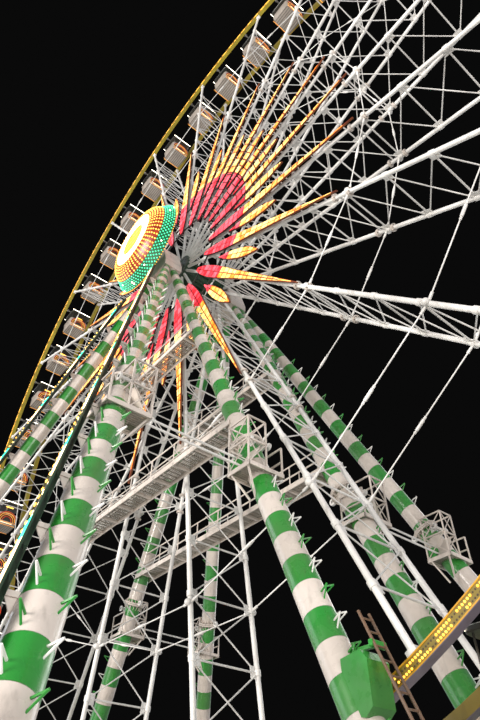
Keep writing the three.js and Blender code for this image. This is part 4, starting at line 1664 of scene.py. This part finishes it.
# The emblem in the middle of the front: stripes, lamps in each zone and the share of white side lamps
STRIPES = 9
SLOPE_LAMPS = 6
SIDE_ROWS = 5
EDGE_LAMPS = 110
WHITE_SHARE = 0.06


def build_emblem():
    e = settings().emblem
    chance = random.Random(SEED + 2)
    shape = Shape()
    slope = ((e.face, e.front - 0.02), (e.knee, e.knee_level), (e.shoulder, e.shoulder_level))
    front = [(0.0, e.front - 0.012), (e.face - 0.02, e.front - 0.012), *slope, (0.0, e.shoulder_level)]
    behind = [
        (0.0, e.shoulder_level), (e.shoulder, e.shoulder_level), (e.edge, e.edge_level),
        (e.edge - 0.03, e.back), (e.neck, e.back), (e.neck, e.neck_end), (0.0, e.neck_end)]
    collar = [
        (e.neck, e.neck_end + 0.03), (e.neck + 0.07, e.neck_end + 0.03), (e.neck + 0.07, e.neck_end),
        (e.neck, e.neck_end)]
    shape.add(turned(front, 96), "slope", facing())
    shape.add(turned(behind, 96), "green_glow", facing())
    shape.add(turned(collar, 40, loop=True), "cream", facing())
    top, bed = e.front - 0.001, e.front - 0.014
    for outer, inner, paint in (
            (e.ring_outer + 0.030, e.ring_outer + 0.004, "orange"), (e.ring_outer, e.ring_inner, "ring"),
            (e.ring_inner - 0.004, e.ring_inner - 0.030, "orange")):
        ring = [(inner, bed), (inner + 0.004, top), (outer - 0.004, top), (outer, bed)]
        shape.add(turned(ring, 96, loop=True), paint, facing())
    reach = e.ring_inner - 0.034
    shape.add(drum(reach, bed, e.front - 0.010, 64), "black", facing())
    for k in range(STRIPES):
        y = (k - (STRIPES - 1) / 2) * 2 * reach / STRIPES
        half = math.sqrt(max(0.0, reach ** 2 - (abs(y) + 0.3 * reach / STRIPES) ** 2))
        stripe = block((2 * half, 1.1 * reach / STRIPES, 0.008))
        shape.add(stripe, "orange" if k % 2 else "amber", facing() @ at(0, y, e.front - 0.006))
    warm, side = [], {"teal": [], "tube": []}
    for radius, level, tilt in slope_places((e.ring_outer + 0.05, e.front - 0.012), *slope):
        for turn in turns(facing(), e.lamp_rows):
            warm.append(turn @ at(radius, 0, level) @ spin(tilt, "Y"))
    for k in range(e.side_lamps):
        for row in range(SIDE_ROWS):
            part = (row + 0.5) / SIDE_ROWS
            angle = FULL_TURN * (k + 0.45 * row) / e.side_lamps
            level = e.shoulder_level + part * (e.edge_level - e.shoulder_level)
            spot = at(e.shoulder + part * (e.edge - e.shoulder), 0, level)
            matrix = facing(angle) @ spot @ spin(0.90, "Y")
            side["tube" if chance.random() < WHITE_SHARE else "teal"].append(matrix)
    edge = [
        turn @ at(e.edge - 0.016, 0, e.back + 0.012) @ spin(1.9, "Y")
        for turn in turns(facing(), EDGE_LAMPS)]
    meshes = [shape.mesh("emblem_body")]
    for name, radius, height, places, paint in (
            ("slope", 0.024, 0.020, warm, "slope_lamp"), ("teal", 0.023, 0.020, side["teal"], "teal"),
            ("tube", 0.023, 0.020, side["tube"], "tube"), ("edge", 0.016, 0.018, edge, "rim_lamp")):
        meshes.append(copies("emblem_" + name, bulb_shape(radius, height), places, paint, 60))
    piece("hub_emblem_drum", meshes, "frame", "emblem", "hub_emblem")


def slope_places(*line):
    """Radius, level and tilt of each lamp along a bent line from the face to the shoulder"""
    lengths = [math.dist(first, second) for first, second in zip(line, line[1:])]
    pitch = sum(lengths) / SLOPE_LAMPS
    for k in range(SLOPE_LAMPS):
        run = (k + 0.5) * pitch
        for (low, high), span in zip(zip(line, line[1:]), lengths):
            if run <= span:
                part = run / span
                tilt = math.atan2(low[1] - high[1], high[0] - low[0])
                yield low[0] + part * (high[0] - low[0]), low[1] + part * (high[1] - low[1]), tilt
                break
            run -= span


# Light boards in front of the outer front legs: depth of the upper bracket and pitch of the others
FIRST_BRACKET = 2.6
BRACKET_PITCH = 0.74


def build_boards():
    b = settings().board
    spread = settings().leg.spread_y
    upright = spin(math.pi / 2, "X")
    for hand, name in HANDS:
        chance = random.Random(SEED + 5 + hand)
        shape = Shape()
        forward = ALONG_Y * -b.stand_off
        start = on_leg(-1, hand, spread, b.start) + forward
        end = on_leg(-1, hand, spread, b.end) + forward
        line = towards(start, end, ALONG_Y)
        total = (end - start).length
        middle = total / 2
        shape.add(block((b.width, b.depth - 0.018, total), 0.004), "black", line @ at(0, 0.009, middle))
        for sign in (-1, 1):
            edge = line @ at(sign * (b.width / 2 - 0.007), 0, middle)
            shape.add(block((0.014, b.depth, total), 0.002), "dark_green", edge)
        run = b.first if hand > 0 else b.first_left
        while run < total - 0.05:
            for kind, size in (("turquoise", b.cool), ("warm", b.warm), ("dark", b.dark)):
                board_section(shape, line, run, min(size, total - 0.04 - run), kind, b, chance)
                run += size
                if run > total - 0.05:
                    break
        beads = []
        run = 0.05
        while run < total - 0.04:
            beads.append(line @ at(b.width / 2 - 0.045, 0.010 - b.depth / 2, run) @ upright)
            run += b.bead * (0.8 + 0.4 * chance.random())
        depth = FIRST_BRACKET
        while depth < b.end:
            board_bracket(shape, hand, depth, forward)
            depth += BRACKET_PITCH
        piece("light_board_" + name, [
            shape.mesh("board_" + name), copies("beads", bulb_shape(0.022, 0.016), beads, "amber", 60),
        ], "frame", "light_boards", "front_light_board_" + name)


def board_section(shape, line, run, size, kind, b, chance):
    """One stretch of lamp windows beside the column of beads"""
    if size < 0.05:
        return
    steps = max(2, int(size / 0.11))
    columns = (-0.085, -0.035, 0.015)
    for k in range(steps):
        for x in columns:
            spot = line @ at(x, 0.006 - b.depth / 2, run + (k + 0.5) * size / steps)
            if kind == "dark":
                if (k + int(100 * x)) % 3 == 0:
                    shape.add(block((0.020, 0.012, 0.022)), "bulb", spot, chance.random())
                continue
            shape.add(block((0.042, 0.014, 0.84 * size / steps)), kind, spot, chance.random())


def board_bracket(shape, hand, depth, forward):
    """A bar from a leg to its board, with a triangular plate under it"""
    leg = settings().leg
    on_axis = on_leg(-1, hand, leg.spread_y, depth)
    skin = ALONG_Y * (-0.9 * leg_radius(depth))
    front = forward + ALONG_Y * 0.03
    base = on_axis + skin
    shape.bar(base, on_axis + front, 0.045, 0.045, "cream")
    outline = [(0.0, 0.0), ((front - skin).length, 0.0), (0.0, -0.24)]
    stand = Matrix(((0, 0, 1, base.x), (-1, 0, 0, base.y), (0, 1, 0, base.z), (0, 0, 0, 1)))
    shape.add(drawn(outline, -0.006, 0.006), "cream", stand)


# The base on the ground: level of a pad's underside
PAD_BASE = 0.13


def build_base():
    b = settings().base
    leg = settings().leg
    low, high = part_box("base_frame")
    foot_x = leg.spread_x * HUB_HEIGHT
    foot_y = leg.bearing + leg.spread_y * HUB_HEIGHT
    pad = block((b.pad, b.pad, high.z - PAD_BASE), 0.01)
    shape = Shape()
    for hand in (-1, 1):
        x = hand * foot_x
        girder(shape, Vector((x, low.y, 0)), Vector((x, high.y, 0)), b)
        for y in (-foot_y, -leg.bearing, leg.bearing, foot_y):
            shape.add(pad, "dark_green", at(x, y, PAD_BASE + (high.z - PAD_BASE) / 2))
    for side in (-1, 1):
        y = side * leg.bearing
        girder(shape, Vector((-foot_x, y, 0)), Vector((foot_x, y, 0)), b)
    piece("base_beams", [shape.mesh("base_body")], "frame", "dark_green_steel", "base_frame")


def girder(shape, start, end, b):
    """An I beam on the ground with stiffeners"""
    flange = 0.024
    span = (end - start).length
    middle = span / 2
    line = towards(start, end, ALONG_Z)
    for level in (flange / 2, b.beam_height - flange / 2):
        shape.add(block((b.beam_width, flange, span), 0.003), "dark_green", line @ at(0, level, middle))
    web = line @ at(0, b.beam_height / 2, middle)
    shape.add(block((0.03, b.beam_height - flange, span)), "dark_green", web)
    stiffener = block((b.beam_width - 0.03, b.beam_height - 2 * flange + 0.004, 0.014))
    for run in middles(0.0, span, int(span / 0.6)):
        shape.add(stiffener, "dark_green", line @ at(0, b.beam_height / 2, run))


# The stage: place, size, share of the light power and colour of each soft light
LIGHTS = {
    "key": ((2, -44, 12), 16, 2.0, (1.0, 0.95, 0.90)),
    "side": ((34, -8, 10), 18, 0.5, (1.0, 0.97, 0.95)),
    "fill": ((-34, -20, 16), 26, 0.35, (0.92, 0.96, 1.0)),
    "rear": ((-10, 36, 26), 26, 0.4, (1.0, 0.98, 0.95))}


def build_stage():
    s = settings().stage
    scene = bpy.context.scene
    world = bpy.data.worlds.new("studio")
    world.use_nodes = True
    tree = world.node_tree
    ambient = tree.nodes["Background"]
    ambient.inputs["Color"].default_value = (0.90, 0.92, 1.0, 1.0)
    ambient.inputs["Strength"].default_value = s.ambient
    backdrop = added(tree, "ShaderNodeBackground", {"Color": (s.backdrop, s.backdrop, s.backdrop, 1.0)})
    seen = added(tree, "ShaderNodeLightPath")
    choice = added(tree, "ShaderNodeMixShader")
    outputs = (seen.outputs["Is Camera Ray"], ambient.outputs[0], backdrop.outputs[0])
    for index, output in enumerate(outputs):
        tree.links.new(output, choice.inputs[index])
    tree.links.new(choice.outputs[0], tree.nodes["World Output"].inputs["Surface"])
    scene.world = world
    scene.view_settings.view_transform = "Standard"
    floor = Shape()
    floor.add(turned([(0.0, -0.05), (s.floor, -0.05), (s.floor, 0.0), (0.0, 0.0)], 64),
              "floor")
    ground = linked("floor", floor.mesh("floor"))
    aim = Vector((0, 0, HUB_HEIGHT))
    for name, (place, size, part, tint) in LIGHTS.items():
        data = bpy.data.lights.new(name, "AREA")
        data.energy = s.power * part
        data.size = size
        data.color = tint
        light = linked(name, data)
        light.matrix_world = towards(place, Vector(place) * 2 - aim)
    data = bpy.data.cameras.new("camera")
    data.lens = s.lens
    data.sensor_width = 36
    data.clip_end = 400
    camera = linked("camera", data)
    right = Vector(s.right).normalized()
    back = -Vector(s.forward).normalized()
    up = back.cross(right).normalized()
    right = up.cross(back)
    camera.matrix_world = Matrix((
        (right.x, up.x, back.x, s.camera[0]), (right.y, up.y, back.y, s.camera[1]),
        (right.z, up.z, back.z, s.camera[2]), (0, 0, 0, 1)))
    scene.camera = camera


# Operators and panel
DONE = {"FINISHED"}


class MakeStage(bpy.types.Operator):
    """Adds the floor, the lights and the camera"""
    bl_idname = "ferris_wheel.make_stage"
    bl_label = "Stage"

    def execute(self, context):
        build_stage()
        return DONE


class MakeSpokes(bpy.types.Operator):
    """Builds the spoke trusses and tie rods"""
    bl_idname = "ferris_wheel.make_spokes"
    bl_label = "Spoke trusses"

    def execute(self, context):
        build_spokes()
        return DONE


class MakeRims(bpy.types.Operator):
    """Builds both rims with their rows of lamps"""
    bl_idname = "ferris_wheel.make_rims"
    bl_label = "Rims"

    def execute(self, context):
        build_rims()
        return DONE


class MakeHub(bpy.types.Operator):
    """Builds the hub drum, its flanges and the shaft"""
    bl_idname = "ferris_wheel.make_hub"
    bl_label = "Hub"

    def execute(self, context):
        build_hub()
        return DONE


class MakeRays(bpy.types.Operator):
    """Builds the lit rays of the sunburst"""
    bl_idname = "ferris_wheel.make_rays"
    bl_label = "Sunburst rays"

    def execute(self, context):
        build_rays()
        return DONE


class MakeCabins(bpy.types.Operator):
    """Builds the cabins, each on its own axle"""
    bl_idname = "ferris_wheel.make_cabins"
    bl_label = "Cabins"

    def execute(self, context):
        build_cabins()
        return DONE


class MakeLegs(bpy.types.Operator):
    """Builds the banded legs with step irons and work cages"""
    bl_idname = "ferris_wheel.make_legs"
    bl_label = "Legs"

    def execute(self, context):
        spread = settings().leg.spread_y
        for (side, side_name), (hand, hand_name) in itertools.product(SIDES, HANDS):
            outer = f"{side_name}_outer_leg_{hand_name}"
            build_leg(f"{side_name}_inner_leg_{hand_name}", side_name + "_inner_legs", side, hand, 0.0)
            build_leg(outer + "_tube", outer, side, hand, spread)
        return DONE


class MakeCatwalks(bpy.types.Operator):
    """Builds the catwalks between the inner legs"""
    bl_idname = "ferris_wheel.make_catwalks"
    bl_label = "Catwalks"

    def execute(self, context):
        build_catwalks()
        return DONE


class MakeHeads(bpy.types.Operator):
    """Builds the bearing heads"""
    bl_idname = "ferris_wheel.make_heads"
    bl_label = "Bearing heads"

    def execute(self, context):
        build_heads()
        return DONE


class MakeEmblem(bpy.types.Operator):
    """Builds the lamp drum in the middle of the front"""
    bl_idname = "ferris_wheel.make_emblem"
    bl_label = "Emblem"

    def execute(self, context):
        build_emblem()
        return DONE


class MakeBoards(bpy.types.Operator):
    """Builds the light boards in front of the front outer legs"""
    bl_idname = "ferris_wheel.make_boards"
    bl_label = "Light boards"

    def execute(self, context):
        build_boards()
        return DONE


class MakeBase(bpy.types.Operator):
    """Builds the base beams and pads"""
    bl_idname = "ferris_wheel.make_base"
    bl_label = "Base"

    def execute(self, context):
        build_base()
        return DONE


OPERATORS = (
    MakeStage, MakeSpokes, MakeRims, MakeHub, MakeRays, MakeCabins, MakeLegs, MakeCatwalks, MakeHeads,
    MakeEmblem, MakeBoards, MakeBase)
GROUPS = (
    WheelSizes, RaySizes, CabinSizes, LegSizes, EmblemSizes, BoardSizes, BaseSizes, PaintColours,
    StageSettings, FerrisWheelSettings)


class FerrisWheelPanel(bpy.types.Panel):
    """Lists the steps that build the wheel"""
    bl_idname = "VIEW3D_PT_ferris_wheel"
    bl_label = "Ferris wheel"
    bl_space_type = "VIEW_3D"
    bl_region_type = "UI"
    bl_category = "Ferris wheel"

    def draw(self, context):
        for operator in OPERATORS:
            self.layout.operator(operator.bl_idname)


CLASSES = GROUPS + OPERATORS + (FerrisWheelPanel,)


def register():
    for entry in CLASSES:
        bpy.utils.register_class(entry)
    bpy.types.Scene.ferris_wheel = bpy.props.PointerProperty(type=FerrisWheelSettings)


def unregister():
    del bpy.types.Scene.ferris_wheel
    for entry in reversed(CLASSES):
        bpy.utils.unregister_class(entry)


def main():
    register()
    for operator in OPERATORS:
        group, name = operator.bl_idname.split(".")
        getattr(getattr(bpy.ops, group), name)()


if __name__ == "__main__":
    main()
